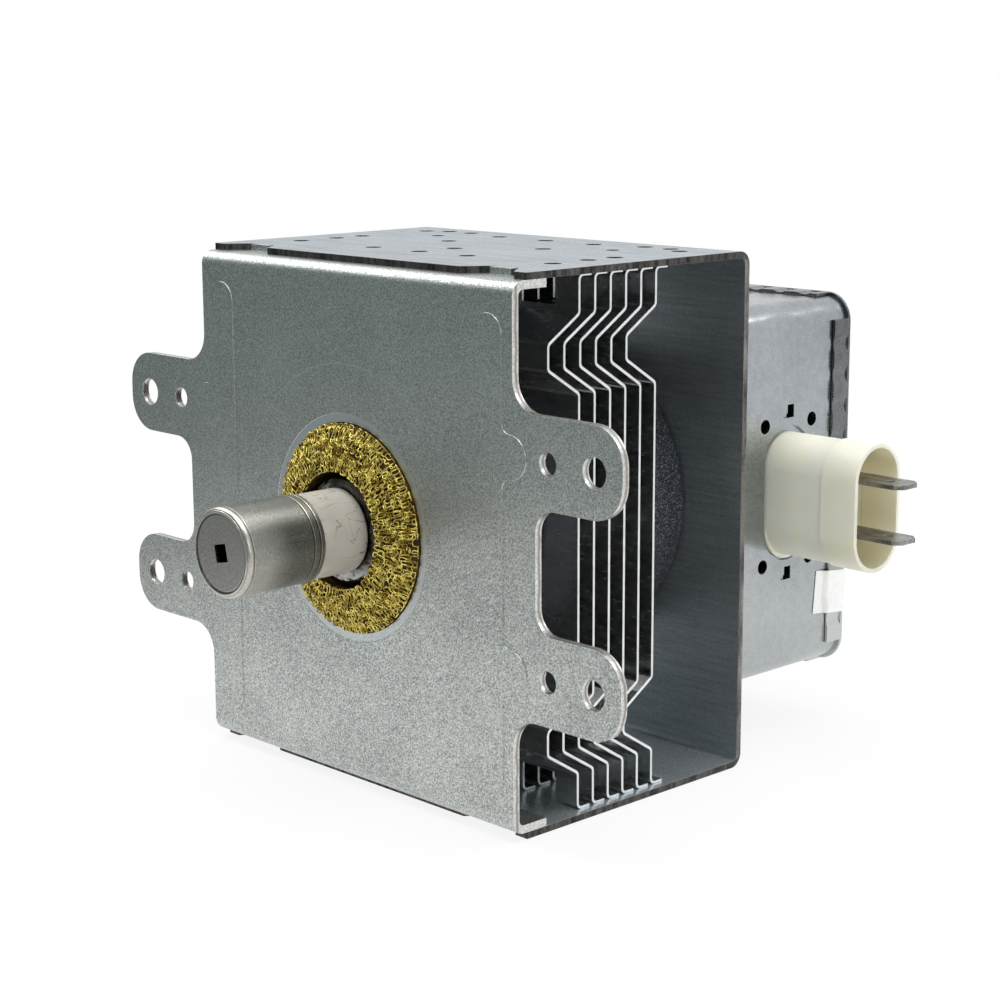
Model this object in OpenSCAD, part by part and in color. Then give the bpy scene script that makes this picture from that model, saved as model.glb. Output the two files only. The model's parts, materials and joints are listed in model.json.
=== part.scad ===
// Packaged magnetron of a microwave oven, with its folded yoke, cooling fins and filter box.
// X runs to the connector side, Y runs back from the mounting face and Z is up.
// The origin is on the antenna's axis, at the outer face of the front plate.

/* [Yoke] */
// Width of the yoke and of the front plate between its ears
yoke_w = 79.4; // [76:0.2:90]
// Outer height over the yoke's top and bottom plates
yoke_h = 91.4; // [88:0.2:100]
// Depth from the mounting face to the outside of the rear plate
yoke_d = 56.3; // [54:0.1:62]
// Thickness of the yoke's sheet
yoke_t = 1.15; // [0.9:0.05:1.6]
// Thickness of the front plate's sheet
sheet = 1.4; // [1:0.1:1.8]
// Outer radius of the folds of both
bend_r = 2.4; // [2:0.1:3.2]
// How far the yoke's top and bottom plates start behind the mounting face
yoke_start = 3.1; // [2.6:0.1:4.4]
// Depth of the front plate's bent flanges
flange_d = 7.5; // [6.8:0.1:8.8]
// Distance of the locking lugs from the middle
lug_x = 30.8; // [24:0.2:32]
// Width of a locking lug
lug_w = 4.8; // [4:0.2:7]
// Space around a lug in the yoke's notch
lug_gap = 0.15; // [0.1:0.05:0.4]
// Width of the notch at the yoke's edge
notch_w = 12.4; // [9:0.2:14]
// Diameter of the rear plate's hole for the input end
stem_hole_d = 24; // [22:0.5:30]
// Diameter of the stake marks
stake_d = 2.9; // [2:0.1:3.4]
// Depth of the stake marks
stake_depth = 0.6; // [0.3:0.1:0.8]
// How much smaller a stake mark is at its floor
stake_taper = 0.5; // [0.2:0.1:1]
// Diameter of the locating holes in the top and bottom plates
locating_d = 2.4; // [2:0.2:3]
// Diameter of the bosses that hold the filter box
boss_d = 4; // [3:0.2:5]
// Distance between the bosses, both ways
boss_pitch = 40; // [36:1:48]

/* [Front plate] */
// Width over the ears
ear_span = 126; // [120:1:140]
// Height between the upper and lower ears' middles
ear_pitch = 34.5; // [32:0.1:40]
// Height of one ear
ear_h = 14.6; // [13:0.1:17]
// Radius of an ear's outer corners
ear_r = 6; // [3:0.5:6.5]
// Radius at an ear's root, towards the plate's top or bottom
shoulder_r = 5.2; // [3:0.1:6]
// Radius at an ear's root, towards the other ear
root_r = 4; // [2:0.5:4.5]
// Width of the plate between the upper and lower ears
waist_w = 89.4; // [86:0.2:94]
// Distance of the outer holes from the ears' ends
bolt_inset = 5.8; // [5:0.1:7]
// Diameter of the outer holes
bolt_d = 4.9; // [4:0.1:6]
// Distance from an outer hole to the inner hole of the same ear
hole_step = 9.8; // [8.5:0.1:11]
// Diameter of the inner holes
screw_d = 3.7; // [3:0.1:4.5]
// Diameter of the hole for the gasket
gasket_hole_d = 36.2; // [34:0.2:40]
// Width of the coined ring round that hole
coin_w = 1.5; // [1:0.1:3]
// Depth of the coined ring
coin_depth = 0.08; // [0.04:0.02:0.2]
// Distance of the pressed panels from the middle
panel_x = 34.2; // [33:0.1:35]
// Width of a pressed panel
panel_w = 6.5; // [4:0.5:7]
// Height of a pressed panel
panel_h = 78.8; // [70:0.2:80]
// How far a pressed panel stands out
panel_rise = 0.2; // [0.1:0.05:0.3]
// Radius of a pressed panel's bulge towards an ear
bulge_r = 3.6; // [3:0.1:4.2]
// How far a bulge's centre lies outside its panel's centre line
bulge_out = 5; // [4:0.1:5.2]
// Radius where a bulge leaves its panel
bulge_root_r = 1.7; // [0.6:0.1:2.4]

/* [Magnets] */
// Outer diameter of the ring magnets
magnet_d = 53.5; // [50:0.5:55]
// Thickness of a ring magnet
magnet_t = 11.8; // [10:0.1:12.4]
// Bore of a ring magnet
magnet_bore = 20.4; // [20:0.1:22]
// Chamfer of a magnet's edges
magnet_edge = 0.5; // [0.2:0.1:1]

/* [Antenna] */
// Distance from the mounting face to the tip of the antenna
antenna_reach = 27; // [25:0.5:32]
// Length of the antenna cap
cap_len = 15.75; // [14:0.25:17]
// Outer diameter of the antenna cap
cap_d = 15; // [14.6:0.1:15.6]
// Wall of the antenna cap
cap_wall = 0.5; // [0.4:0.1:0.6]
// Radius of the cap's front edge
cap_edge_r = 1; // [0.7:0.1:1.4]
// How far the cap's end disc lies behind its edge
cap_disc_in = 0.15; // [0.1:0.05:0.3]
// Side of the square hole in the cap's end
cap_hole = 3; // [2:0.1:4]
// Outer diameter of the output ceramic
ceramic_d = 14.5; // [14.2:0.1:14.6]
// Bore of the output ceramic
ceramic_bore = 9.2; // [8:0.1:10]
// Outer diameter of the seal sleeves
sleeve_d = 19.2; // [18.6:0.1:19.6]
// Wall of the seal sleeves
sleeve_wall = 0.6; // [0.4:0.1:0.8]
// Radius of a seal sleeve's shoulder
sleeve_round = 1.4; // [1:0.1:1.8]
// How far the output ceramic's seat stands out of the mounting face
seal_out = 1.8; // [0.8:0.1:2.4]
// How far the gasket's inner edge stands out of the mounting face
gasket_crown = 2.6; // [1.4:0.1:3]
// Space between the gasket and the plate's hole
gasket_gap = 0.2; // [0.1:0.05:0.4]
// Inner diameter of the gasket
gasket_bore = 20.2; // [19.8:0.1:22]
// Outer diameter of the exhaust tube
exhaust_d = 6; // [5:0.1:7]
// Wall of the exhaust tube
exhaust_wall = 0.6; // [0.4:0.1:0.8]
// Diameter of the antenna lead
lead_d = 1.8; // [1.4:0.1:2.2]

/* [Anode] */
// Outer diameter of the anode cylinder
anode_d = 38.5; // [37:0.5:40]
// Wall of the anode cylinder
anode_wall = 2; // [1.6:0.1:2.4]
// Number of vanes
vane_count = 10; // [10]
// Thickness of a vane
vane_t = 1.9; // [1.5:0.1:2.1]
// Height of a vane, along the axis
vane_h = 9.5; // [8:0.25:10]
// Diameter of the space between the vane tips
vane_tip_d = 9.2; // [8.6:0.1:9.6]
// Section of a strap ring, both ways
strap = 1; // [0.8:0.1:1.1]
// Inner radius of the smaller strap rings
strap_r = 7.6; // [7.4:0.1:7.8]
// Step from the smaller strap rings to the larger ones
strap_step = 2.1; // [2:0.1:2.3]
// Space round a strap where a vane passes it
strap_gap = 0.4; // [0.3:0.05:0.45]
// Thickness of the pole pieces
pole_t = 1.6; // [1.2:0.1:2]
// Distance between the pole pieces' tips
pole_gap = 12.8; // [12:0.2:14]
// Radius of a pole piece's funnel at its mouth
funnel_r = 12.6; // [12.2:0.1:13]
// Radius of a pole piece's tip
pole_tip_r = 6.4; // [6:0.1:7]
// Radius of the hole in a pole piece
pole_bore_r = 4.7; // [4.4:0.1:5]

/* [Cathode] */
// Radius of the filament coil, at the middle of its wire
coil_r = 1.95; // [1.8:0.05:2.1]
// Diameter of the filament wire
coil_wire = 0.56; // [0.4:0.02:0.6]
// Turns of the filament
coil_turns = 7; // [5:1:8]
// Diameter of the end hats
hat_d = 7.2; // [6.6:0.1:7.6]
// Thickness of the end hats
hat_t = 0.8; // [0.6:0.1:1]
// Diameter of the cathode leads
cathode_lead_d = 1.5; // [1.2:0.1:1.6]
// Distance of each cathode lead from the axis in the stem
stem_offset = 2.6; // [2.4:0.1:3]
// Diameter of the stem ceramic
stem_d = 16.8; // [16:0.1:18]
// Thickness of the stem ceramic
stem_t = 6; // [5:0.5:7]
// How far the stem ceramic's seat lies behind the rear plate
stem_out = 0.8; // [0.4:0.1:1.4]
// Thickness of the stem terminals
stem_tag_t = 0.8; // [0.6:0.1:1]
// Width of the stem terminals
stem_tag_w = 2.8; // [2.4:0.1:3]

/* [Cooling fins] */
// Number of fins
fin_count = 6; // [4:1:6]
// Width of a fin
fin_w = 76; // [70:1:78]
// Thickness of a fin
fin_t = 0.5; // [0.4:0.05:0.8]
// Distance from fin to fin
fin_pitch = 3.6; // [3.4:0.1:3.8]
// Distance of the first fin behind the anode's front end
fin_start = 1.8; // [1.6:0.1:2.4]
// How far the fins step forward near their ends
fin_jog = 7; // [6:0.1:7.4]
// How far the first fold lies inside the magnet's rim
fold_lap = 1.45; // [0.8:0.05:1.5]
// Height of a sloping stretch
fold_rise = 4.4; // [4.2:0.1:4.8]
// Height of the stretch that stands forward
fold_ledge = 4; // [3:0.1:4.4]
// Radius of the fins' folds, at the middle of the sheet
fold_r = 0.9; // [0.7:0.1:1.2]
// Space between a fin's foot and the next fin
foot_gap = 0.3; // [0.2:0.05:0.5]
// Length of a fin's collar
collar_len = 2.6; // [2:0.1:2.8]
// Width of a fin's outer legs
leg_w = 5; // [3:0.5:6]
// Width of the slot beside an outer leg
slot_w = 7.8; // [5:0.2:9]
// How far a slot's end lies above the last fold
slot_margin = 1.1; // [0.6:0.1:2]
// Diameter of the small holes in a fin
fin_hole_d = 1.6; // [1:0.1:2]
// Distance of the small holes from the middle
fin_hole_x = 29.3; // [26:0.1:32]

/* [Filter box] */
// Width of the filter box
box_w = 66; // [62:1:72]
// Height of the filter box
box_h = 69; // [64:1:76]
// Depth of the filter box
box_d = 36.1; // [34.5:0.1:42]
// Thickness of the filter box's sheet
box_sheet = 0.6; // [0.5:0.05:0.8]
// Radius of the box's long corners
box_r = 4.5; // [3:0.5:6]
// Depth of the cover's rim
rim_d = 4.6; // [3:0.2:6]
// How far the cover's rim strips reach over the box's corners
rim_lap = 0.6; // [0.2:0.1:3]
// Distance from crimp to crimp along the cover's rim
crimp_pitch = 5.8; // [5:0.1:9]
// Radius of the tool that made the crimps
crimp_r = 4; // [2:0.5:6]
// Depth of the crimps
crimp_depth = 0.3; // [0.1:0.05:0.4]
// Distance of the connector's middle behind the rear plate
shroud_y = 20; // [18.5:0.1:21]
// Spacing of the round holes, along the box's depth
vent_pitch_y = 13.3; // [12.6:0.1:14]
// Spacing of the round holes, along the box's height
vent_pitch_z = 25.8; // [25:0.1:28]
// Diameter of the round holes
vent_d = 2.6; // [2:0.1:3]
// Distance between the middles of the hook windows
window_pitch = 30.1; // [30:0.1:32]
// Width of a hook window
window_w = 2.8; // [2.2:0.1:3.2]
// Height of a hook window
window_h = 2.4; // [2:0.1:2.8]
// Width of a hook
hook_w = 1.4; // [1:0.1:1.6]
// Height of a hook
hook_h = 1.7; // [1.2:0.1:1.8]
// How far a hook stands into its window
hook_out = 0.3; // [0.2:0.05:0.4]

/* [Connector] */
// Width of the shroud at its root
shroud_w = 12.4; // [11.6:0.1:13]
// Height of the shroud at its root
shroud_h = 22.6; // [22:0.1:24]
// Length of the shroud, from the box wall
shroud_len = 20.1; // [18:0.1:24]
// Length of the wider front part of the shroud
shroud_front = 7.6; // [5:0.1:9]
// How far the front part stands out all round
shroud_step = 0.3; // [0.15:0.05:0.4]
// Wall of the shroud
shroud_wall = 1.1; // [0.9:0.1:1.4]
// Wall of the shroud at its mouth
mouth_wall = 0.8; // [0.6:0.1:1]
// Depth of the shroud's socket
socket_d = 12; // [10:0.5:13]
// Thickness of the socket's floor
socket_floor = 2; // [1.5:0.1:3]
// How far the shroud's collar reaches below it in the box's hole
collar_drop = 0.8; // [0.4:0.1:1]
// How far the collar stands out of the box's wall
collar_out = 0.2; // [0.1:0.05:0.4]
// Side space between the shroud and the box's hole
shroud_gap = 0.4; // [0.2:0.05:0.6]
// Extra height of the box's hole above and below the shroud
shroud_slack = 0.8; // [0.4:0.1:1]
// Width of the terminal tabs
tab_w = 6.35; // [5.6:0.05:6.6]
// Thickness of the terminal tabs
tab_t = 0.8; // [0.6:0.1:1]
// Distance between the tabs' middles
tab_pitch = 9.8; // [9:0.1:10.4]
// How far the tabs stand out of the shroud
tab_out = 7; // [4:0.1:8]
// Chamfer of a tab's tip
tab_tip = 1.4; // [0.8:0.1:1.8]
// Diameter of the hole in a tab
tab_hole_d = 1.6; // [1.2:0.1:2]
// Distance of that hole from the tab's tip
tab_hole_in = 4.4; // [3.6:0.1:5]
// Side space between the capacitor and the shroud's wall
capacitor_gap = 0.4; // [0.2:0.1:0.6]
// How far the capacitor reaches behind its ground plate
capacitor_tail = 9; // [7:0.5:11]
// Length of the capacitor's inner case
inner_case_len = 14; // [13:0.5:16]
// Thickness of the inner case's end
inner_case_end = 1.2; // [0.8:0.1:2]
// Thickness of the capacitor's ground plate
ground_t = 0.8; // [0.6:0.1:1.2]
// Width of the ground plate
ground_w = 21; // [20:0.5:24]
// Height of the ground plate
ground_h = 37; // [36:0.5:42]

/* [Chokes] */
// Diameter of the choke wire
wire_d = 1.4; // [1:0.1:1.6]
// Radius of a choke coil, at the middle of its wire
choke_r = 3.6; // [3.2:0.1:4]
// Turns of a choke coil
choke_turns = 11; // [8:1:11]
// Length of a choke coil
choke_len = 20; // [18:0.5:22]
// Distance of a choke's axis from the middle
choke_z = 17; // [16:0.5:20]

/* [Fits] */
// Space between pieces that are pressed, brazed or soldered together
fit_gap = 0.05; // [0.02:0.01:0.1]

/* [Hidden] */
$fn = 96;
over = 1;
small_fn = 32;
sweep_sides = 6;
rod_sides = 12;
rings_per_turn = 10;

// heights and depths of the folded sheets
inner_h = yoke_h - 2 * yoke_t;
rear_y = yoke_d - yoke_t;
half_h = inner_h / 2;

// holes of the ears
bolt_pitch = ear_span - 2 * bolt_inset;
screw_pitch = bolt_pitch - 2 * hole_step;

// stack along the axis, from the front plate to the rear plate
front_magnet_y = sheet;
front_pole_y = front_magnet_y + magnet_t;
rear_magnet_y = rear_y - magnet_t;
rear_pole_y = rear_magnet_y - pole_t;
anode_y = front_pole_y + pole_t;
anode_len = rear_pole_y - anode_y;
mid_y = anode_y + anode_len / 2;
pole_drop = (rear_magnet_y - front_pole_y - pole_gap) / 2;
funnel_slope = (pole_drop - pole_t) / (funnel_r - pole_tip_r);
anode_r = anode_d / 2;
anode_bore_r = anode_r - anode_wall;

// rings of the output end
sleeve_r = sleeve_d / 2;
sleeve_flare_r = sleeve_r + 2;
sleeve_flare_d = 0.3;
ceramic_end_y = cap_len - antenna_reach;
cup_r = cap_d / 2 - cap_wall - fit_gap;
cup_len = 7;
exhaust_r = exhaust_d / 2;
exhaust_tip_y = ceramic_end_y - 12.4;
exhaust_pinch = 3;
pinch_t = 1.6;
cap_hole_turn = -12;

// the antenna lead's corners, as depth and height
lead_start = [mid_y - vane_h / 2 - 4 * fit_gap, anode_bore_r - 4.9];
lead_turn = lead_start - [2.4, 0.4];
lead_throat = [front_pole_y + 1.3, 6.5];
lead_axis_y = front_pole_y - 7;
lead_end_y = exhaust_tip_y + exhaust_pinch + fit_gap;

// straps
strap_radii = [strap_r, strap_r + strap_step];

// cathode
coil_len = vane_h;
hat_front_y = mid_y - coil_len / 2 - coil_wire / 2 - hat_t - fit_gap;
hat_rear_y = mid_y + coil_len / 2 + coil_wire / 2 + fit_gap;
lead_bend_y = rear_magnet_y + 2;
lead_bend_len = 8;
stem_y = yoke_d + stem_out;
stem_back_y = stem_y + stem_t;
stem_tag_len = 14;
stem_tag_root = 1.6;

// fins
fin_y = anode_y + fin_start;
fin_bore_r = anode_r + fit_gap;
fold_1 = magnet_d / 2 - fold_lap;
fold_2 = fold_1 + fold_rise;
fold_3 = fold_2 + fold_ledge;
fold_4 = fold_3 + fold_rise;
foot_z = half_h - fin_t / 2;
foot_len = fin_pitch - fin_t - foot_gap;
slot_z = fold_4 + slot_margin;
slot_x = fin_w / 2 - leg_w - slot_w;
fold_steps = 4;

// filter box and connector
box_y = yoke_d;
box_end_y = box_y + box_d;
cover_gap = fit_gap;
mid_shroud_y = box_y + shroud_y;
wall_x = box_w / 2;
wall_in_x = wall_x - box_sheet;
plate_in_x = wall_in_x - ground_t;
rim_x = wall_x + shroud_len;
socket_x = rim_x - socket_d;
tab_tip_x = rim_x + tab_out;
tab_z = tab_pitch / 2;
tab_in_x = 8;
capacitor_w = shroud_w - 2 * (shroud_wall + capacitor_gap);
capacitor_h = shroud_h - 2 * (shroud_wall + capacitor_gap);
capacitor_in_x = plate_in_x - capacitor_tail;
inner_case_x = plate_in_x - inner_case_len;
tab_neck_w = 4;

// chokes
choke_x = choke_len / 2;
wire_r = wire_d / 2;
core_r = choke_r * cos(180 / rings_per_turn) - wire_r - fit_gap;
weld_gap = fit_gap;

// stake marks in rows: distance in front of the rear plate's outside, then distances from the middle
stake_rows = [
    [39.7, [0, 12, 32]],
    [31.5, [0, 32]],
    [25.3, [32]],
    [21.9, [12]],
    [9.3, [0, 12, 32]],
    [7, [22, 28]]
];
// the locating holes lie between the rows of stake marks
locating_row = [15.3, 22.2];

function unit(v) = v / norm(v);

// one corner of a folded line, as points on an arc of radius r
function corner(p, q, s, r) =
    let (
        u = unit(p - q),
        v = unit(s - q),
        half = acos(u * v) / 2,
        c = q + unit(u + v) * r / sin(half),
        a = q + u * r / tan(half) - c,
        b = q + v * r / tan(half) - c,
        from = atan2(a.y, a.x),
        turn = atan2(a.x * b.y - a.y * b.x, a * b)
    )
    [for (k = [0:fold_steps]) c + r * [cos(from + turn * k / fold_steps), sin(from + turn * k / fold_steps)]];

// a folded line with all its inner corners rounded
function folded(line, r) =
    concat(
        [line[0]],
        [for (i = [1:len(line) - 2]) each corner(line[i - 1], line[i], line[i + 1], r)],
        [line[len(line) - 1]]
    );

// direction of a path at point i
function heading(path, i) = unit(path[min(i + 1, len(path) - 1)] - path[max(i - 1, 0)]);

// outline of a sheet of thickness t along a flat path
function thickened(path, t) =
    let (
        last = len(path) - 1,
        side = [for (i = [0:last]) let (d = heading(path, i)) [-d.y, d.x] * t / 2]
    )
    concat(
        [for (i = [0:last]) path[i] + side[i]],
        [for (i = [last:-1:0]) path[i] - side[i]]
    );

// half of a fin's folded line, from its foot at the top to its first fold
function fin_half() = [
    [foot_len, foot_z],
    [0, foot_z],
    [0, fold_4],
    [-fin_jog, fold_3],
    [-fin_jog, fold_2],
    [0, fold_1]
];

// the front surface of the output pole piece's funnel at radius r
function funnel_y(r) = front_pole_y + (funnel_r - r) * funnel_slope;

// points of a coil along X whose ends point at the middle
function coil(x0, len, r, turns) =
    let (steps = turns * rings_per_turn)
    [for (i = [0:steps]) [
        x0 - len * i / steps,
        r * sin(360 * turns * i / steps),
        -r * cos(360 * turns * i / steps)
    ]];

// a round bar along a path; ref is never along the path
module sweep(path, ref, r, sides) {
    last = len(path) - 1;
    points = [
        for (i = [0:last])
        let (t = heading(path, i), u = unit(cross(t, ref)), v = cross(u, t))
        for (k = [0:sides - 1])
        path[i] + r * (cos(360 * k / sides) * u + sin(360 * k / sides) * v)
    ];
    walls = [
        for (i = [0:last - 1], k = [0:sides - 1])
        let (a = i * sides + k, b = i * sides + (k + 1) % sides)
        each [[a, b, b + sides], [a, b + sides, a + sides]]
    ];
    ends = [
        [for (k = [sides - 1:-1:0]) k],
        [for (k = [0:sides - 1]) last * sides + k]
    ];
    polyhedron(points, concat(walls, ends), convexity = 10);
}

// turns a profile of radius and depth about the antenna's axis
module turned() {
    rotate([-90, 0, 0]) rotate_extrude() children();
}

// a round bar or hole along the antenna's axis
module axial(r, y0, len, x = 0, z = 0) {
    translate([x, y0, z]) rotate([-90, 0, 0]) cylinder(h = len, r = r);
}

module ring(r_in, r_out, y0, len) {
    turned() translate([r_in, y0]) square([r_out - r_in, len]);
}

// a flat outline in X and Z, thickened back from y0
module wall_y(y0, t) {
    translate([0, y0 + t, 0]) rotate([90, 0, 0]) linear_extrude(t) children();
}

// a flat outline in Y and Z, thickened along +X from x0
module wall_x(x0, t) {
    translate([x0, 0, 0]) rotate([90, 0, 90]) linear_extrude(t) children();
}

// a straight round bar from p to q
module rod(p, q, r) {
    d = q - p;
    translate(p)
        rotate([0, acos(d.z / norm(d)), atan2(d.y, d.x)])
            cylinder(h = norm(d), r = r, $fn = small_fn);
}

// a round bar bent along a line of depth and height, in the plane of the antenna's axis
module bent_rod(line, r, bend) {
    sweep([for (p = folded(line, bend)) [0, p.x, p.y]], [1, 0, 0], r, rod_sides);
}

module both_x() {
    children();
    mirror([1, 0, 0]) children();
}

module both_z() {
    children();
    mirror([0, 0, 1]) children();
}

module rounded_rect(w, h, r) {
    square([w, h - 2 * r], center = true);
    square([w - 2 * r, h], center = true);
    for (x = [-1, 1], y = [-1, 1])
        translate([x * (w / 2 - r), y * (h / 2 - r)]) circle(r);
}

// a long hole or bar with half-round ends, upright
module obround(w, h) {
    square([w, h - w], center = true);
    for (y = [-1, 1]) translate([0, y * (h - w) / 2]) circle(w / 2);
}

// the hollow of an inner corner, at the origin, towards +x and +y
module fillet(r) {
    difference() {
        square(r);
        translate([r, r]) circle(r);
    }
}

// a block with two round corners at its left side
module folded_block(d, h, r) {
    translate([r, -h / 2]) square([d - r, h]);
    translate([0, r - h / 2]) square([r, h - 2 * r]);
    for (z = [-1, 1]) translate([r, z * (h / 2 - r)]) circle(r);
}

// section of a sheet folded into a channel, open to the right
module channel(d, h, t, r) {
    difference() {
        folded_block(d, h, r);
        translate([t, 0]) folded_block(d - t + over, h - 2 * t, r - t);
    }
}

// outline of the yoke's notch for a lug, wider at the yoke's edge
module notch_outline() {
    w = lug_w / 2 + lug_gap;
    end_y = flange_d + lug_gap;
    polygon([
        [-notch_w / 2, yoke_start - over], [notch_w / 2, yoke_start - over], [notch_w / 2, yoke_start],
        [w, end_y], [-w, end_y], [-notch_w / 2, yoke_start]
    ]);
}

// a lug bent up at the end of the front plate's upper flange
module lug() {
    translate([-lug_w / 2, flange_d - sheet, half_h - sheet / 2]) cube([lug_w, sheet, sheet / 2 + yoke_t]);
}

// one quarter of the front plate's ears, in the quarter of +x and +y
module ear_outline() {
    z1 = ear_pitch / 2 - ear_h / 2;
    translate([0, ear_pitch / 2]) rounded_rect(ear_span, ear_h, ear_r);
    translate([yoke_w / 2, z1 + ear_h]) fillet(shoulder_r);
    translate([waist_w / 2, z1]) mirror([0, 1]) fillet(root_r);
}

module plate_outline() {
    square([waist_w, ear_pitch], center = true);
    for (x = [0, 1], z = [0, 1]) mirror([x, 0]) mirror([0, z]) ear_outline();
}

module panel_outline() {
    root_r = min(bulge_root_r, bulge_out - panel_w / 2);
    obround(panel_w, panel_h);
    for (z = [-1, 1]) translate([0, z * ear_pitch / 2]) {
        translate([bulge_out, 0]) circle(bulge_r);
        translate([0, -bulge_r]) square([bulge_out, 2 * bulge_r]);
        for (side = [0, 1]) mirror([0, side]) translate([panel_w / 2, bulge_r]) fillet(root_r);
    }
}

module front_plate() {
    color([0.66, 0.70, 0.69])
    difference() {
        union() {
            wall_x(-yoke_w / 2, yoke_w) channel(flange_d, inner_h, sheet, bend_r);
            wall_y(0, sheet) plate_outline();
            both_x() wall_y(-panel_rise, panel_rise + sheet / 2) translate([panel_x, 0]) panel_outline();
            both_x() both_z() translate([lug_x, 0, 0]) lug();
        }
        axial(gasket_hole_d / 2, -over, sheet + 2 * over);
        axial(gasket_hole_d / 2 + coin_w, -over, over + coin_depth);
        for (x = [-1, 1], z = [-1, 1]) {
            axial(bolt_d / 2, -over, sheet + 2 * over, x * bolt_pitch / 2, z * ear_pitch / 2);
            axial(screw_d / 2, -over, sheet + 2 * over, x * screw_pitch / 2, z * ear_pitch / 2);
        }
    }
}

module stake_marks() {
    for (row = stake_rows, x = row[1])
        both_x() translate([x, yoke_d - row[0], yoke_h / 2 - stake_depth])
            cylinder(h = 2 * stake_depth, d1 = stake_d - stake_taper, d2 = stake_d + stake_taper,
                $fn = small_fn);
}

module boss_places() {
    for (x = [-1, 1], z = [-1, 1]) translate([x * boss_pitch / 2, z * boss_pitch / 2]) children();
}

module rear_yoke() {
    color([0.55, 0.59, 0.62])
    difference() {
        union() {
            wall_x(-yoke_w / 2, yoke_w) translate([yoke_d, 0]) mirror([1, 0])
                channel(yoke_d - yoke_start, yoke_h, yoke_t, bend_r);
            wall_y(rear_y, yoke_t + box_sheet) boss_places() circle(boss_d / 2);
        }
        axial(stem_hole_d / 2, rear_y - over, yoke_t + 2 * over);
        both_x() both_z() translate([lug_x, 0, half_h - over])
            linear_extrude(yoke_t + 2 * over) notch_outline();
        both_z() stake_marks();
        both_x() translate([locating_row[1], yoke_d - locating_row[0], -yoke_h])
            cylinder(h = 2 * yoke_h, d = locating_d, $fn = small_fn);
    }
}

module rf_gasket() {
    r1 = gasket_bore / 2;
    r2 = gasket_hole_d / 2 - gasket_gap;
    dome_r = (pow(r2 - r1, 2) + pow(gasket_crown, 2)) / (2 * gasket_crown);
    color([0.80, 0.62, 0.16])
    turned() intersection() {
        translate([r1, -gasket_crown - over]) square([r2 - r1, sheet + gasket_crown + over]);
        translate([r1, dome_r - gasket_crown]) circle(dome_r);
    }
}

module ring_magnet(y0) {
    r1 = magnet_bore / 2;
    r2 = magnet_d / 2;
    e = magnet_edge;
    color([0.16, 0.17, 0.18])
    translate([0, y0, 0]) turned() polygon([
        [r1, 0], [r2 - e, 0], [r2, e], [r2, magnet_t - e], [r2 - e, magnet_t], [r1, magnet_t]
    ]);
}

module front_magnet() ring_magnet(front_magnet_y);

module rear_magnet() ring_magnet(rear_magnet_y);

module antenna_cap() {
    r = cap_d / 2;
    disc_r = r - cap_edge_r;
    edge_y = cap_edge_r - antenna_reach;
    color([0.72, 0.70, 0.67])
    difference() {
        turned() {
            translate([r - cap_wall, edge_y]) square([cap_wall, cap_len - cap_edge_r]);
            translate([disc_r, edge_y]) intersection() {
                difference() {
                    circle(cap_edge_r, $fn = small_fn);
                    circle(cap_edge_r - cap_wall, $fn = small_fn);
                }
                translate([0, -2 * cap_edge_r]) square(2 * cap_edge_r);
            }
            translate([0, cap_disc_in - antenna_reach]) square([disc_r + cap_disc_in, cap_wall]);
        }
        translate([0, -antenna_reach, 0]) rotate([0, cap_hole_turn, 0])
            cube([cap_hole, 4 * cap_wall, cap_hole], center = true);
    }
}

module output_ceramic() {
    color([0.93, 0.90, 0.87])
    ring(ceramic_bore / 2, ceramic_d / 2, ceramic_end_y, -seal_out - ceramic_end_y);
}

// section of a seal sleeve, with its lip towards -y and its flare on a pole piece's funnel
module sleeve_section(lip_y) {
    r1 = sleeve_r - sleeve_wall;
    flare_y = front_pole_y - sleeve_flare_d;
    lip_in = [ceramic_bore / 2, lip_y];
    lip_back = lip_in + [0, sleeve_wall];
    foot_out = [sleeve_r, flare_y];
    foot_in = [r1, flare_y + sleeve_wall];
    polygon(concat(
        [lip_in],
        corner(lip_in, [sleeve_r, lip_y], foot_out, sleeve_round),
        [
            foot_out,
            [sleeve_flare_r, funnel_y(sleeve_flare_r) - fit_gap],
            [sleeve_flare_r - sleeve_wall, funnel_y(sleeve_flare_r - sleeve_wall) - fit_gap],
            foot_in
        ],
        corner(foot_in, [r1, lip_y + sleeve_wall], lip_back, sleeve_round - sleeve_wall),
        [lip_back]
    ));
}

// places a piece of the output end at the input end
module at_input_end() {
    translate([0, front_pole_y + rear_magnet_y, 0]) mirror([0, 1, 0]) children();
}

module output_sleeve() {
    color([0.70, 0.69, 0.66]) turned() sleeve_section(-seal_out);
}

module input_sleeve() {
    color([0.70, 0.69, 0.66])
    at_input_end() turned() sleeve_section(front_pole_y + rear_magnet_y - stem_y);
}

module exhaust_holder() {
    color([0.74, 0.73, 0.71])
    turned() {
        translate([cup_r - cap_wall, ceramic_end_y - cup_len]) square([cap_wall, cup_len]);
        translate([exhaust_r + fit_gap, ceramic_end_y - cup_len])
            square([cup_r - exhaust_r - fit_gap, cap_wall]);
    }
}

// a tube whose tip is pinched flat
module exhaust_tube() {
    y0 = exhaust_tip_y;
    y1 = y0 + exhaust_pinch;
    color([0.72, 0.45, 0.30])
    difference() {
        axial(exhaust_r, y0, ceramic_end_y - y0);
        both_z() wall_x(-exhaust_d, 2 * exhaust_d)
            polygon([[y0 - over, pinch_t / 2], [y0, pinch_t / 2], [y1, exhaust_d], [y0 - over, exhaust_d]]);
        axial(exhaust_r - exhaust_wall, y1, ceramic_end_y - y1 + over);
    }
}

module antenna_lead() {
    color([0.75, 0.48, 0.32])
    bent_rod([lead_start, lead_turn, lead_throat, [lead_axis_y, 0], [lead_end_y, 0]], lead_d / 2, lead_d);
}

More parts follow.
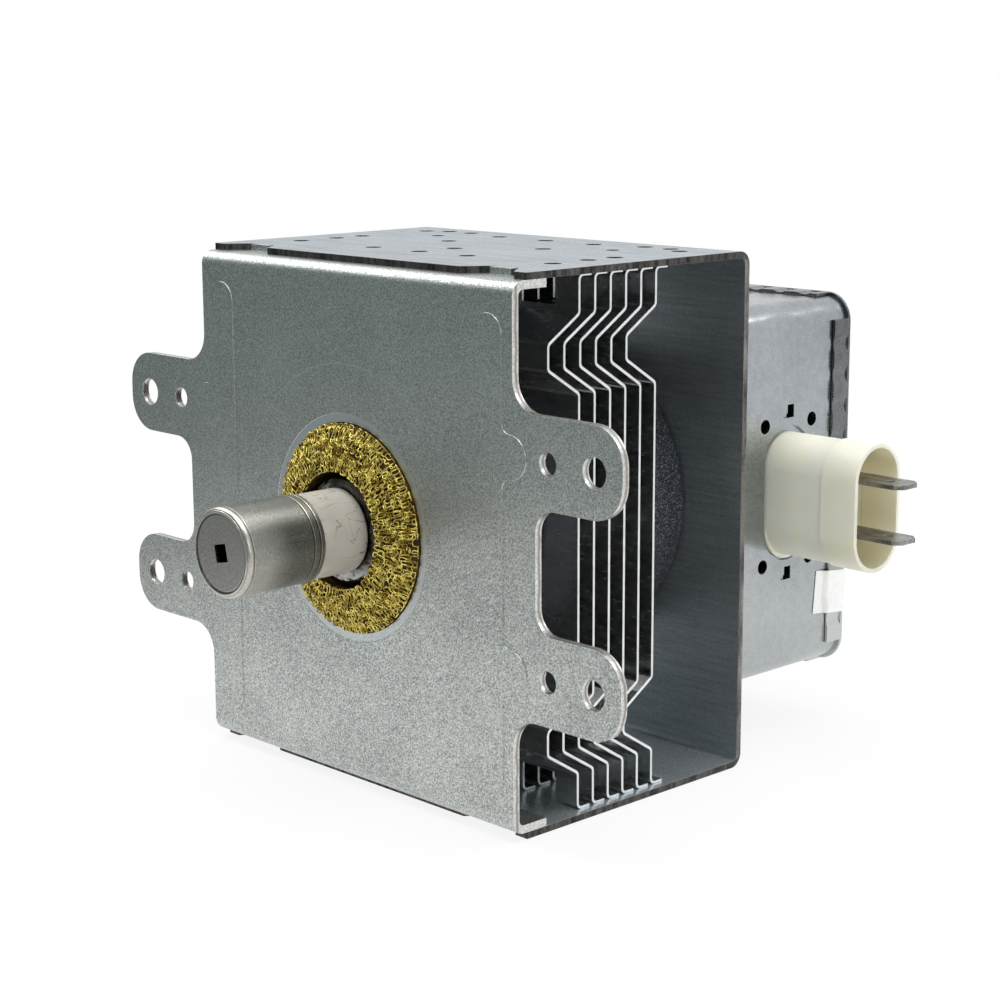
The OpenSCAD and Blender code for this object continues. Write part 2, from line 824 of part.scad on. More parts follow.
// section of the output pole piece
module pole_section() {
    tip_y = front_pole_y + pole_drop;
    lip = pole_t * 0.5;
    polygon([
        [anode_r, front_pole_y],
        [funnel_r, front_pole_y],
        [pole_tip_r, tip_y - pole_t],
        [pole_bore_r, tip_y - pole_t],
        [pole_bore_r, tip_y],
        [pole_tip_r + lip, tip_y],
        [funnel_r + lip, anode_y],
        [anode_r, anode_y]
    ]);
}

module output_pole_piece() {
    color([0.45, 0.46, 0.48])
    difference() {
        turned() pole_section();
        rod([0, lead_turn.x, lead_turn.y], [0, lead_throat.x, lead_throat.y], lead_d);
    }
}

module input_pole_piece() {
    color([0.45, 0.46, 0.48]) at_input_end() turned() pole_section();
}

module anode_cylinder() {
    color([0.72, 0.43, 0.27]) ring(anode_bore_r, anode_r, anode_y, anode_len);
}

// the groove of strap n (0 or 1) in a vane's front edge; a joined strap fits, the other passes clear
module strap_groove(n, joined) {
    gap = joined ? 2 * fit_gap : strap_gap;
    depth = joined ? strap : strap + strap_gap;
    translate([strap_radii[n] - gap, -over]) square([strap + 2 * gap, over + depth]);
}

// outline of a vane in radius and depth, from its front edge
module vane_outline(odd) {
    tip_r = vane_tip_d / 2;
    difference() {
        translate([tip_r, 0]) square([anode_bore_r - fit_gap - tip_r, vane_h]);
        for (n = [0, 1]) {
            strap_groove(n, (n == 0) == odd);
            translate([0, vane_h]) mirror([0, 1]) strap_groove(n, (n == 0) != odd);
        }
    }
}

module anode_vane(i) {
    angle = 90 + (i - 1) * 360 / vane_count;
    color([0.74, 0.45, 0.29])
    rotate([0, -angle, 0]) translate([0, mid_y - vane_h / 2, -vane_t / 2])
        linear_extrude(vane_t) vane_outline(i % 2 == 1);
}

module strap_ring(n, y0) {
    color([0.78, 0.50, 0.34]) ring(strap_radii[n], strap_radii[n] + strap, y0, strap - fit_gap);
}

module front_strap_inner() strap_ring(0, mid_y - vane_h / 2);

module front_strap_outer() strap_ring(1, mid_y - vane_h / 2);

module rear_strap_inner() strap_ring(0, mid_y + vane_h / 2 - strap + fit_gap);

module rear_strap_outer() strap_ring(1, mid_y + vane_h / 2 - strap + fit_gap);

module filament() {
    color([0.50, 0.50, 0.52])
    translate([0, mid_y, 0]) rotate([0, 0, 90])
        sweep(coil(coil_len / 2, coil_len, coil_r, coil_turns), [1, 0, 0], coil_wire / 2, sweep_sides);
}

module output_end_hat() {
    color([0.60, 0.60, 0.62])
    difference() {
        axial(hat_d / 2, hat_front_y, hat_t);
        axial(cathode_lead_d / 2 + fit_gap, hat_front_y - over, hat_t + 2 * over);
    }
}

module input_end_hat() {
    color([0.60, 0.60, 0.62])
    difference() {
        axial(hat_d / 2, hat_rear_y, hat_t);
        axial(cathode_lead_d / 2 + 0.3, hat_rear_y - over, hat_t + 2 * over);
        axial(cathode_lead_d / 2 + fit_gap, hat_rear_y - over, hat_t + 2 * over, 0, -stem_offset);
    }
}

module centre_lead() {
    bend_end_y = lead_bend_y + lead_bend_len;
    end_y = stem_back_y + stem_tag_t;
    color([0.58, 0.58, 0.60])
    bent_rod([
        [hat_front_y, 0], [lead_bend_y, 0], [bend_end_y, stem_offset], [end_y, stem_offset]
    ], cathode_lead_d / 2, 2 * cathode_lead_d);
}

module side_lead() {
    color([0.58, 0.58, 0.60])
    axial(cathode_lead_d / 2, hat_rear_y, stem_back_y + stem_tag_t - hat_rear_y, 0, -stem_offset);
}

module stem_ceramic() {
    color([0.92, 0.86, 0.85])
    difference() {
        axial(stem_d / 2, stem_y, stem_t);
        for (z = [-1, 1])
            axial(cathode_lead_d / 2 + fit_gap, stem_y - over, stem_t + 2 * over, 0, z * stem_offset);
    }
}

// a strip on the stem ceramic, from its lead towards -X
module stem_terminal(z) {
    color([0.70, 0.66, 0.58])
    difference() {
        translate([stem_tag_root - stem_tag_len, stem_back_y, z - stem_tag_w / 2])
            cube([stem_tag_len, stem_tag_t, stem_tag_w]);
        axial(cathode_lead_d / 2 + fit_gap, stem_back_y - over, stem_tag_t + 2 * over, 0, z);
    }
}

module centre_terminal() stem_terminal(stem_offset);

module side_terminal() stem_terminal(-stem_offset);

// one cooling fin: a folded sheet with slotted ends, feet and a collar round the anode
module cooling_fin(i) {
    half = fin_half();
    last = len(half) - 1;
    line = concat(half, [for (k = [last:-1:0]) [half[k].x, -half[k].y]]);
    color([0.80, 0.82, 0.83])
    translate([0, fin_y + (i - 1) * fin_pitch, 0])
    difference() {
        union() {
            wall_x(-fin_w / 2, fin_w) polygon(thickened(folded(line, fold_r), fin_t));
            ring(fin_bore_r, fin_bore_r + fin_t, 0, collar_len);
        }
        axial(fin_bore_r, -over, collar_len + 2 * over);
        both_x() both_z() translate([slot_x, -fin_t, slot_z])
            cube([slot_w, fin_pitch + fin_t, half_h]);
        both_x() axial(fin_hole_d / 2, -over, 2 * over, fin_hole_x);
    }
}

module box_outline(margin) {
    rounded_rect(box_w + 2 * margin, box_h + 2 * margin, box_r + margin);
}

module filter_box() {
    color([0.70, 0.74, 0.75])
    difference() {
        wall_y(box_y, box_d) box_outline(0);
        wall_y(box_y + box_sheet, box_d) box_outline(-box_sheet);
        axial(stem_hole_d / 2, box_y - over, box_sheet + 2 * over);
        wall_y(box_y - over, box_sheet + 2 * over) boss_places() circle(boss_d / 2 + fit_gap);
        translate([0, mid_shroud_y, 0]) wall_x(wall_in_x - over, box_sheet + 2 * over) {
            obround(shroud_w + 2 * shroud_gap, shroud_h + 2 * (shroud_gap + shroud_slack));
            for (y = [-1, 1], z = [-1, 1])
                translate([y * vent_pitch_y / 2, z * vent_pitch_z / 2]) circle(vent_d / 2, $fn = small_fn);
            for (z = [-1, 1]) translate([0, z * window_pitch / 2])
                square([window_w, window_h], center = true);
        }
    }
}

// crimps along a rim strip of a given length, which lies at a distance from the middle
module crimps(length, away) {
    last = floor((length / crimp_pitch - 1) / 2);
    for (k = [0:last], side = [0, 1]) mirror([0, side])
        translate([away + crimp_r - crimp_depth, (k + 0.5) * crimp_pitch]) circle(crimp_r, $fn = small_fn);
}

module filter_cover() {
    out = cover_gap + box_sheet;
    side_h = box_h - 2 * (box_r - rim_lap);
    top_w = box_w - 2 * (box_r - rim_lap);
    color([0.68, 0.72, 0.73])
    union() {
        wall_y(box_end_y, box_sheet) box_outline(out);
        wall_y(box_end_y + box_sheet - rim_d, rim_d - box_sheet / 2) difference() {
            intersection() {
                box_outline(out);
                union() {
                    square([box_w + 4 * out, side_h], center = true);
                    square([top_w, box_h + 4 * out], center = true);
                }
            }
            box_outline(cover_gap);
            for (side = [0, 1]) mirror([side, 0]) crimps(side_h, box_w / 2 + out);
            for (side = [0, 1]) mirror([0, side]) rotate(90) crimps(top_w, box_h / 2 + out);
        }
    }
}

module tab_slots(gap) {
    for (z = [-1, 1]) translate([0, z * tab_z])
        square([tab_neck_w + 2 * gap, tab_t + 2 * gap], center = true);
}

// the ivory shroud: a wide socket for the plug and a skirt over the capacitor
module capacitor_case() {
    front_x = rim_x - shroud_front;
    mouth_in = mouth_wall - shroud_step;
    color([0.90, 0.87, 0.76])
    translate([0, mid_shroud_y, 0])
    difference() {
        union() {
            wall_x(wall_in_x, shroud_len + box_sheet) obround(shroud_w, shroud_h);
            wall_x(front_x, shroud_front) obround(shroud_w + 2 * shroud_step, shroud_h + 2 * shroud_step);
            wall_x(wall_in_x, box_sheet + collar_out)
                translate([0, -collar_drop]) obround(shroud_w, shroud_h);
        }
        wall_x(socket_x, socket_d + over) obround(shroud_w - 2 * mouth_in, shroud_h - 2 * mouth_in);
        wall_x(wall_in_x - over, socket_x - socket_floor - wall_in_x + over)
            obround(shroud_w - 2 * shroud_wall, shroud_h - 2 * shroud_wall);
        wall_x(socket_x - socket_floor - over, socket_floor + 2 * over) tab_slots(fit_gap);
    }
}

module capacitor_body() {
    color([0.55, 0.40, 0.28])
    translate([0, mid_shroud_y, 0])
    wall_x(capacitor_in_x, socket_x - socket_floor - fit_gap - capacitor_in_x) difference() {
        obround(capacitor_w, capacitor_h);
        tab_slots(fit_gap);
    }
}

module capacitor_inner_case() {
    color([0.86, 0.83, 0.72])
    translate([0, mid_shroud_y, 0])
    difference() {
        wall_x(inner_case_x, inner_case_len) obround(shroud_w, shroud_h);
        wall_x(inner_case_x + inner_case_end, inner_case_len)
            obround(shroud_w - 2 * shroud_wall, shroud_h - 2 * shroud_wall);
        wall_x(inner_case_x - over, inner_case_end + 2 * over) tab_slots(fit_gap);
    }
}

// the plate that earths the capacitor; its hooks stand in the windows of the box wall
module ground_plate() {
    color([0.62, 0.64, 0.65])
    translate([0, mid_shroud_y, 0]) {
        wall_x(plate_in_x, ground_t) difference() {
            square([ground_w, ground_h], center = true);
            obround(capacitor_w + 2 * fit_gap, capacitor_h + 2 * fit_gap);
            for (y = [-1, 1], z = [-1, 1])
                translate([y * vent_pitch_y / 2, z * vent_pitch_z / 2]) circle(vent_d / 2, $fn = small_fn);
            for (z = [-1, 1]) translate([hook_w / 2, z * window_pitch / 2])
                square([window_w - hook_w, window_h], center = true);
        }
        wall_x(plate_in_x, ground_t + hook_out) for (z = [-1, 1])
            translate([-(window_w - hook_w) / 2, z * window_pitch / 2 + (window_h - hook_h) / 2])
                square([hook_w - 2 * fit_gap, hook_h - 2 * fit_gap], center = true);
    }
}

// a terminal strip: a wide tab in the socket and a narrow neck through the capacitor
module terminal(z) {
    root_x = socket_x + fit_gap;
    color([0.52, 0.49, 0.45])
    translate([0, mid_shroud_y, z - tab_t / 2]) linear_extrude(tab_t) difference() {
        polygon([
            [tab_in_x, -tab_neck_w / 2], [root_x, -tab_neck_w / 2], [root_x, -tab_w / 2],
            [tab_tip_x - tab_tip, -tab_w / 2], [tab_tip_x, tab_tip - tab_w / 2],
            [tab_tip_x, tab_w / 2 - tab_tip], [tab_tip_x - tab_tip, tab_w / 2],
            [root_x, tab_w / 2], [root_x, tab_neck_w / 2], [tab_in_x, tab_neck_w / 2]
        ]);
        translate([tab_tip_x - tab_hole_in, 0]) circle(tab_hole_d / 2, $fn = small_fn);
    }
}

module upper_tab() terminal(tab_z);

module lower_tab() terminal(-tab_z);

// the upper choke: from its tab, round its core, to its stem terminal
module choke_coil() {
    turns = [for (p = coil(choke_x, choke_len, choke_r, choke_turns)) p + [0, mid_shroud_y, choke_z]];
    tab_end = [choke_x, mid_shroud_y, tab_z + tab_t / 2 + weld_gap];
    drop = [-choke_x, mid_shroud_y, stem_offset + wire_d];
    elbow = [-choke_x, mid_shroud_y - wire_d, stem_offset];
    tag_end = [-choke_x, stem_back_y + stem_tag_t + weld_gap, stem_offset];
    color([0.66, 0.36, 0.18])
    sweep(concat([tab_end], turns, [drop, elbow, tag_end]), [1, 0, 0], wire_r, sweep_sides);
}

module choke_core() {
    length = choke_len - 2 * wire_d;
    color([0.20, 0.20, 0.21])
    translate([-length / 2, mid_shroud_y, choke_z]) rotate([0, 90, 0]) cylinder(h = length, r = core_r);
}

module upper_choke_coil() choke_coil();

module lower_choke_coil() mirror([0, 0, 1]) choke_coil();

module upper_choke_core() choke_core();

module lower_choke_core() mirror([0, 0, 1]) choke_core();

front_plate();
rear_yoke();
rf_gasket();
front_magnet();
rear_magnet();
antenna_cap();
output_ceramic();
output_sleeve();
exhaust_holder();
exhaust_tube();
antenna_lead();
output_pole_piece();
input_pole_piece();
anode_cylinder();
for (i = [1:vane_count]) anode_vane(i);
front_strap_inner();
front_strap_outer();
rear_strap_inner();
rear_strap_outer();
filament();
output_end_hat();
input_end_hat();
centre_lead();
side_lead();
input_sleeve();
stem_ceramic();
centre_terminal();
side_terminal();
for (i = [1:fin_count]) cooling_fin(i);
filter_box();
filter_cover();
capacitor_case();
capacitor_body();
capacitor_inner_case();
ground_plate();
upper_tab();
lower_tab();
upper_choke_coil();
lower_choke_coil();
upper_choke_core();
lower_choke_core();
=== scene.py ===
import bpy
import json
import math
import random
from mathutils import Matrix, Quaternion, Vector


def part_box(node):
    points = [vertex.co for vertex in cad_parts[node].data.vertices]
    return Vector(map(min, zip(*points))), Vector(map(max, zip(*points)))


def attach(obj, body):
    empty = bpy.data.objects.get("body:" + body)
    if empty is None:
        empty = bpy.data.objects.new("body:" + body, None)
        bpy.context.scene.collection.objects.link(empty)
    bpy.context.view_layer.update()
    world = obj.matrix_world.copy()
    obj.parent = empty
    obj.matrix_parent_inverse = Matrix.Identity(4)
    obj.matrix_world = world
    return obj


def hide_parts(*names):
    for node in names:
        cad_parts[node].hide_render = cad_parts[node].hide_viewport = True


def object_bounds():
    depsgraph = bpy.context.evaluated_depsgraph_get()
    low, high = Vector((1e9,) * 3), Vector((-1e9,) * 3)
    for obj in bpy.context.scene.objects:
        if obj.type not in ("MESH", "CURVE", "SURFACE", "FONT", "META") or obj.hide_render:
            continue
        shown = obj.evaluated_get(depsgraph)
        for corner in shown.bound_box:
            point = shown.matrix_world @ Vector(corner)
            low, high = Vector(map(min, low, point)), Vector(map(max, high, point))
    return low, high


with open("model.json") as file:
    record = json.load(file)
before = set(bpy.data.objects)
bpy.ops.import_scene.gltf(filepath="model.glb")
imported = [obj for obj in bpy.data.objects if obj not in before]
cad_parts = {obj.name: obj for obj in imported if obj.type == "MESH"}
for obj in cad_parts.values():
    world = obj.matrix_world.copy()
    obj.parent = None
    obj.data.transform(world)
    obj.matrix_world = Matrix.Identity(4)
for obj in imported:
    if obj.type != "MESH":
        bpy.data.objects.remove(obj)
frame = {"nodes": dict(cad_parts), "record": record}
cadLow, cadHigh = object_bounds()
nodes = frame["nodes"]
mm = 0.001
print("frame loaded,", len(nodes), "nodes")


# camera, at the viewing angle of the product shot
shot = {
    "azimuth": 46.233,
    "elevation": 11.565,
    "roll": -0.241,
    "distance": 0.3769,
    "target": (0.00873, 0.027, 0.00225),
    "lens": 77.7,
    "sensor": 36,
    "clip": (0.01, 20),
}


def setCamera():
    a, e = math.radians(shot["azimuth"]), math.radians(shot["elevation"])
    back = Vector((math.sin(a) * math.cos(e), -math.cos(a) * math.cos(e), math.sin(e)))
    bpy.ops.object.camera_add(location=Vector(shot["target"]) + back * shot["distance"])
    camera = bpy.context.active_object
    camera.rotation_mode = "QUATERNION"
    turn = Quaternion((0, 0, 1), math.radians(shot["roll"]))
    camera.rotation_quaternion = (-back).to_track_quat("-Z", "Y") @ turn
    camera.data.lens = shot["lens"]
    camera.data.sensor_width = shot["sensor"]
    camera.data.clip_start, camera.data.clip_end = shot["clip"]
    bpy.context.scene.camera = camera
    bpy.context.scene.view_settings.view_transform = "Standard"


setCamera()
print("camera set")


# noise is turned off the axes, so that no flat face lies in a plane of its lattice; radians
latticeTurn = (0.62, 0.41, 0.28)
nodeSpacing = 200


class Wiring:
    # a node tree under construction, with short calls for the nodes used most
    def __init__(self, tree):
        self.tree = tree
        tree.nodes.clear()

    def node(self, kind, **settings):
        made = self.tree.nodes.new(kind)
        made.location = (nodeSpacing * len(self.tree.nodes), 0)
        for key, value in settings.items():
            setattr(made, key, value)
        return made

    def feed(self, value, socket):
        if isinstance(value, bpy.types.NodeSocket):
            self.tree.links.new(value, socket)
        elif socket.type == "RGBA":
            socket.default_value = (*value, 1)
        else:
            socket.default_value = value

    def maths(self, operation, *values):
        made = self.node("ShaderNodeMath", operation=operation)
        for value, socket in zip(values, made.inputs):
            self.feed(value, socket)
        return made.outputs["Value"]

    def vectors(self, operation, *values):
        made = self.node("ShaderNodeVectorMath", operation=operation)
        for value, socket in zip(values, made.inputs):
            self.feed(value, socket)
        return made.outputs

    def ramp(self, value, low, high, start=0.0, end=1.0, shape="SMOOTHSTEP"):
        made = self.node("ShaderNodeMapRange", interpolation_type=shape)
        span = {"Value": value, "From Min": low, "From Max": high, "To Min": start, "To Max": end}
        for key, given in span.items():
            self.feed(given, made.inputs[key])
        return made.outputs["Result"]

    def blend(self, factor, a, b):
        made = self.node("ShaderNodeMix", data_type="RGBA")
        for key, given in {"Factor": factor, "A": a, "B": b}.items():
            self.feed(given, made.inputs[key])
        return made.outputs["Result"]

    def turned(self, vector):
        made = self.node("ShaderNodeVectorRotate", rotation_type="EULER_XYZ")
        self.feed(vector, made.inputs["Vector"])
        self.feed(latticeTurn, made.inputs["Rotation"])
        return made.outputs["Vector"]

    def noise(self, vector, scale, detail):
        made = self.node("ShaderNodeTexNoise")
        for key, given in {"Vector": vector, "Scale": scale, "Detail": detail}.items():
            self.feed(given, made.inputs[key])
        return made.outputs["Fac"]


# studio: a white wall behind and to the right, a dim room in front on the left
studio = {
    "wallSide": (0.10, 0.99, 0.0),
    "wallEdge": (-0.5, 0.9),
    "wall": (0.98, 0.99, 1.0),
    "room": (0.23, 0.275, 0.27),
    "backdrop": (1, 1, 1),
    "aim": (0.0, 0.03, 0.0),
}


def buildWorld():
    world = bpy.data.worlds.new("studioWorld")
    bpy.context.scene.world = world
    world.use_nodes = True
    sky = Wiring(world.node_tree)
    coords = sky.node("ShaderNodeTexCoord").outputs["Generated"]
    facing = sky.vectors("DOT_PRODUCT", coords, studio["wallSide"])["Value"]
    tone = sky.blend(sky.ramp(facing, *studio["wallEdge"]), studio["room"], studio["wall"])
    path = sky.node("ShaderNodeLightPath").outputs
    seen = sky.maths("MAXIMUM", path["Is Camera Ray"], path["Is Transmission Ray"])
    background = sky.node("ShaderNodeBackground")
    sky.feed(sky.blend(seen, tone, studio["backdrop"]), background.inputs["Color"])
    output = sky.node("ShaderNodeOutputWorld")
    sky.feed(background.outputs["Background"], output.inputs["Surface"])


# pale table, which reflections see darker towards the room
tableTop = {
    "radius": 0.30,
    "sides": 96,
    "drop": 0.2 * mm,
    "white": 0.86,
    "glow": 0.86,
    "roomSide": (-0.71, -0.70, 0.0),
    "fade": (0.08, 0.24),
    "far": 0.15,
}


def buildTable():
    bpy.ops.object.select_all(action="DESELECT")
    bpy.ops.mesh.primitive_circle_add(
        vertices=tableTop["sides"], radius=tableTop["radius"], fill_type="NGON",
        location=(0, studio["aim"][1], cadLow.z - tableTop["drop"]))
    table = bpy.context.active_object
    table.name = "table"
    bpy.ops.object.transform_apply(location=True, rotation=True, scale=True)
    material = bpy.data.materials.new("tableWhite")
    material.use_nodes = True
    top = Wiring(material.node_tree)
    coords = top.node("ShaderNodeTexCoord").outputs["Object"]
    away = top.vectors("DOT_PRODUCT", coords, tableTop["roomSide"])["Value"]
    fade = top.ramp(away, *tableTop["fade"], 1.0, tableTop["far"])
    path = top.node("ShaderNodeLightPath").outputs
    direct = top.maths("MAXIMUM", path["Is Camera Ray"], path["Is Transmission Ray"])
    seen = top.maths("MAXIMUM", direct, path["Is Glossy Ray"])
    diffuse = top.node("ShaderNodeBsdfDiffuse")
    top.feed((tableTop["white"],) * 3, diffuse.inputs["Color"])
    emission = top.node("ShaderNodeEmission")
    top.feed(top.maths("MAXIMUM", direct, fade), emission.inputs["Strength"])
    mix = top.node("ShaderNodeMixShader")
    top.feed(top.maths("MULTIPLY", seen, tableTop["glow"]), mix.inputs["Fac"])
    top.feed(diffuse.outputs["BSDF"], mix.inputs[1])
    top.feed(emission.outputs["Emission"], mix.inputs[2])
    output = top.node("ShaderNodeOutputMaterial")
    top.feed(mix.outputs["Shader"], output.inputs["Surface"])
    table.data.materials.append(material)


softboxes = {
    "softboxTop": {"place": (0.08, -0.04, 0.66), "size": 0.60, "power": 4.2},
    "softboxLeft": {"place": (-0.42, -0.06, 0.44), "size": 0.36, "power": 1.5},
    "softboxRight": {"place": (0.65, -0.22, 0.24), "size": 0.40, "power": 0.5},
    "softboxBack": {"place": (0.30, 0.40, 0.46), "size": 0.28, "power": 0.5},
}


def addSoftbox(name, box):
    bpy.ops.object.light_add(type="AREA", location=box["place"])
    lamp = bpy.context.active_object
    lamp.name = name
    lamp.data.size = box["size"]
    lamp.data.energy = box["power"]
    aim = Vector(studio["aim"]) - Vector(box["place"])
    lamp.rotation_mode = "QUATERNION"
    lamp.rotation_quaternion = aim.to_track_quat("-Z", "Y")


buildWorld()
buildTable()
for boxName, softbox in softboxes.items():
    addSoftbox(boxName, softbox)
print("studio lit")


# shared effects, each a shader node group
grainContrast = (0.3, 0.7)
scratchNoise = {"detail": 1.5, "middle": 0.5, "patchScale": 1.7, "patchDetail": 2.0}


def newGroup(name, inputs, output):
    group = bpy.data.node_groups.new(name, "ShaderNodeTree")
    for label, default in inputs.items():
        kind = "NodeSocketVector" if isinstance(default, tuple) else "NodeSocketFloat"
        socket = group.interface.new_socket(label, in_out="INPUT", socket_type=kind)
        socket.default_value = default
    group.interface.new_socket(output, in_out="OUTPUT", socket_type="NodeSocketFloat")
    wiring = Wiring(group)
    given = wiring.node("NodeGroupInput").outputs
    result = wiring.node("NodeGroupOutput").inputs[output]
    return wiring, given, result


def buildGrain():  # stretched noise between two values
    inputs = {"Vector": (0.0, 0.0, 0.0), "Stretch": (1.0, 1.0, 1.0), "Scale": 1000.0,
              "Detail": 2.0, "Low": 0.0, "High": 1.0}
    wiring, given, result = newGroup("sheetGrain", inputs, "Value")
    place = wiring.vectors("MULTIPLY", given["Vector"], given["Stretch"])["Vector"]
    noise = wiring.noise(wiring.turned(place), given["Scale"], given["Detail"])
    wiring.feed(wiring.ramp(noise, *grainContrast, given["Low"], given["High"], "LINEAR"), result)
    return wiring.tree


def buildScratches():  # thin wandering lines in patches, 1 on a line
    inputs = {"Vector": (0.0, 0.0, 0.0), "Stretch": (1.0, 1.0, 1.0), "Scale": 200.0,
              "Width": 0.012, "Cover": 0.55}
    wiring, given, result = newGroup("thinScratches", inputs, "Mask")
    place = wiring.vectors("MULTIPLY", given["Vector"], given["Stretch"])["Vector"]
    noise = wiring.noise(place, given["Scale"], scratchNoise["detail"])
    away = wiring.maths("ABSOLUTE", wiring.maths("SUBTRACT", noise, scratchNoise["middle"]))
    line = wiring.maths("LESS_THAN", away, given["Width"])
    patchScale = wiring.maths("MULTIPLY", given["Scale"], scratchNoise["patchScale"])
    patch = wiring.noise(given["Vector"], patchScale, scratchNoise["patchDetail"])
    where = wiring.maths("GREATER_THAN", patch, given["Cover"])
    wiring.feed(wiring.maths("MULTIPLY", line, where), result)
    return wiring.tree


def buildPulse():  # 1 at a place along a value, falling to 0 at its reach
    wiring, given, result = newGroup("linePulse", {"Value": 0.0, "Place": 0.0, "Reach": 1.0}, "Mask")
    away = wiring.maths("ABSOLUTE", wiring.maths("SUBTRACT", given["Value"], given["Place"]))
    wiring.feed(wiring.ramp(wiring.maths("DIVIDE", away, given["Reach"]), 0.0, 1.0, 1.0, 0.0), result)
    return wiring.tree


sheetGrain = buildGrain()
thinScratches = buildScratches()
linePulse = buildPulse()
print("effects built")


class Finish(Wiring):
    # one material: its shader, its object coordinates and the shared effects
    def __init__(self, name, metallic=1.0, roughness=0.4):
        self.material = bpy.data.materials.new(name)
        self.material.use_nodes = True
        super().__init__(self.material.node_tree)
        shader = self.node("ShaderNodeBsdfPrincipled")
        self.sockets = shader.inputs
        self.sockets["Metallic"].default_value = metallic
        self.sockets["Roughness"].default_value = roughness
        self.coords = self.node("ShaderNodeTexCoord").outputs["Object"]
        self.normal = None
        output = self.node("ShaderNodeOutputMaterial")
        self.feed(shader.outputs["BSDF"], output.inputs["Surface"])

    def give(self, name, value):
        self.feed(value, self.sockets[name])

    def roughen(self, tone, span):
        self.give("Roughness", self.ramp(tone, 0.0, 1.0, *span))

    def effect(self, kind, **inputs):
        made = self.node("ShaderNodeGroup", node_tree=kind)
        for key, value in inputs.items():
            self.feed(value, made.inputs[key])
        return made.outputs[0]

    def grain(self, scale, low=0.0, high=1.0, stretch=(1, 1, 1), detail=2.0):
        return self.effect(sheetGrain, Vector=self.coords, Scale=scale, Low=low, High=high,
                           Stretch=stretch, Detail=detail)

    def scratches(self, scale, width, cover, stretch=(1, 1, 1)):
        return self.effect(thinScratches, Vector=self.coords, Scale=scale, Width=width,
                           Cover=cover, Stretch=stretch)

    def pulse(self, value, place, reach):
        return self.effect(linePulse, Value=value, Place=place, Reach=reach)

    def pulses(self, value, places):
        total = 0.0
        for place, reach in places:
            total = self.maths("ADD", total, self.pulse(value, place, reach))
        return total

    def axes(self):
        made = self.node("ShaderNodeSeparateXYZ")
        self.feed(self.coords, made.inputs[0])
        return made.outputs

    def radius(self):
        flat = self.vectors("MULTIPLY", self.coords, (1, 0, 1))["Vector"]
        return self.vectors("LENGTH", flat)["Value"]

    def mixed(self, weights, *values):
        total = 0.0
        for value, weight in zip(values, weights):
            total = self.maths("MULTIPLY_ADD", value, weight, total)
        return total

    def bump(self, height, strength, distance):
        made = self.node("ShaderNodeBump")
        self.feed(strength, made.inputs["Strength"])
        self.feed(distance, made.inputs["Distance"])
        self.feed(height, made.inputs["Height"])
        if self.normal:
            self.feed(self.normal, made.inputs["Normal"])
        self.normal = made.outputs["Normal"]
        self.give("Normal", self.normal)


# front plate: dull zinc, salt-and-pepper grain, a faint pressed arc with a painted highlight along its
# upper part, a paler coined ring
plateLook = {
    "speckle": {"scale": 3600, "low": -0.6, "high": 1.6},
    "mottle": {"scale": 900},
    "clouds": {"scale": 70, "detail": 3},
    "weights": (0.6, 0.2, 0.2),
    "dark": (0.28, 0.295, 0.29),
    "light": (0.66, 0.685, 0.66),
    "rough": (0.46, 0.32),
    "coinedEdge": (19.8 * mm, 19.4 * mm),
    "coinedCover": 0.8,
    "coined": (0.60, 0.63, 0.64),
    "arcLine": (28 * mm, 0.2 * mm),
    "arcHeights": (8 * mm, 20 * mm),
    "arcCover": 0.35,
    "arc": (0.85, 0.86, 0.85),
    "speckleBump": (0.2, 0.03 * mm),
    "cloudBump": (0.08, 0.25 * mm),
}


def plateMaterial(look):
    skin = Finish("plateZinc")
    speckle = skin.grain(**look["speckle"])
    clouds = skin.grain(**look["clouds"])
    tone = skin.mixed(look["weights"], speckle, skin.grain(**look["mottle"]), clouds)
    body = skin.blend(tone, look["dark"], look["light"])
    radius = skin.radius()
    coined = skin.ramp(radius, *look["coinedEdge"], 0.0, look["coinedCover"])
    body = skin.blend(coined, body, look["coined"])
    # painted highlight: the pressed arc is blended near white, only high on the plate where light catches
    # it
    upper = skin.ramp(skin.axes()["Z"], *look["arcHeights"], 0.0, look["arcCover"])
    arc = skin.maths("MULTIPLY", skin.pulse(radius, *look["arcLine"]), upper)
    skin.give("Base Color", skin.blend(arc, body, look["arc"]))
    skin.roughen(tone, look["rough"])
    grit = skin.maths("MULTIPLY", speckle, skin.maths("SUBTRACT", 1.0, coined))
    skin.bump(grit, *look["speckleBump"])
    skin.bump(clouds, *look["cloudBump"])
    return skin.material


# yoke: slate zinc drawn along X; its floor is painted paler as light falling on it, with speckle for scuffs
yokeLook = {
    "metallic": 0.85,
    "lines": {"scale": 1700, "low": -0.2, "high": 1.2, "stretch": (0.05, 0.6, 1)},
    "speckle": {"scale": 2600, "low": -0.3, "high": 1.3},
    "clouds": {"scale": 60, "detail": 3},
    "weights": (0.4, 0.4, 0.2),
    "dark": (0.25, 0.28, 0.30),
    "light": (0.44, 0.475, 0.50),
    "rough": (0.42, 0.30),
    "floorReach": 0.3 * mm,
    "floorDark": (0.55, 0.60, 0.64),
    "floorLight": (0.82, 0.88, 0.92),
    "lineBump": (0.2, 0.04 * mm),
}


def yokeMaterial(look, floorTop):
    skin = Finish("yokeZinc", look["metallic"])
    lines = skin.grain(**look["lines"])
    speckle = skin.grain(**look["speckle"])
    tone = skin.mixed(look["weights"], lines, speckle, skin.grain(**look["clouds"]))
    body = skin.blend(tone, look["dark"], look["light"])
    # painted light: the floor's face is blended to a pale colour as if lit, its speckle standing for scuffs
    onFloor = skin.pulse(skin.axes()["Z"], floorTop, look["floorReach"])
    litScuffedFloor = skin.blend(speckle, look["floorDark"], look["floorLight"])
    skin.give("Base Color", skin.blend(onFloor, body, litScuffedFloor))
    skin.roughen(tone, look["rough"])
    skin.bump(lines, *look["lineBump"])
    return skin.material
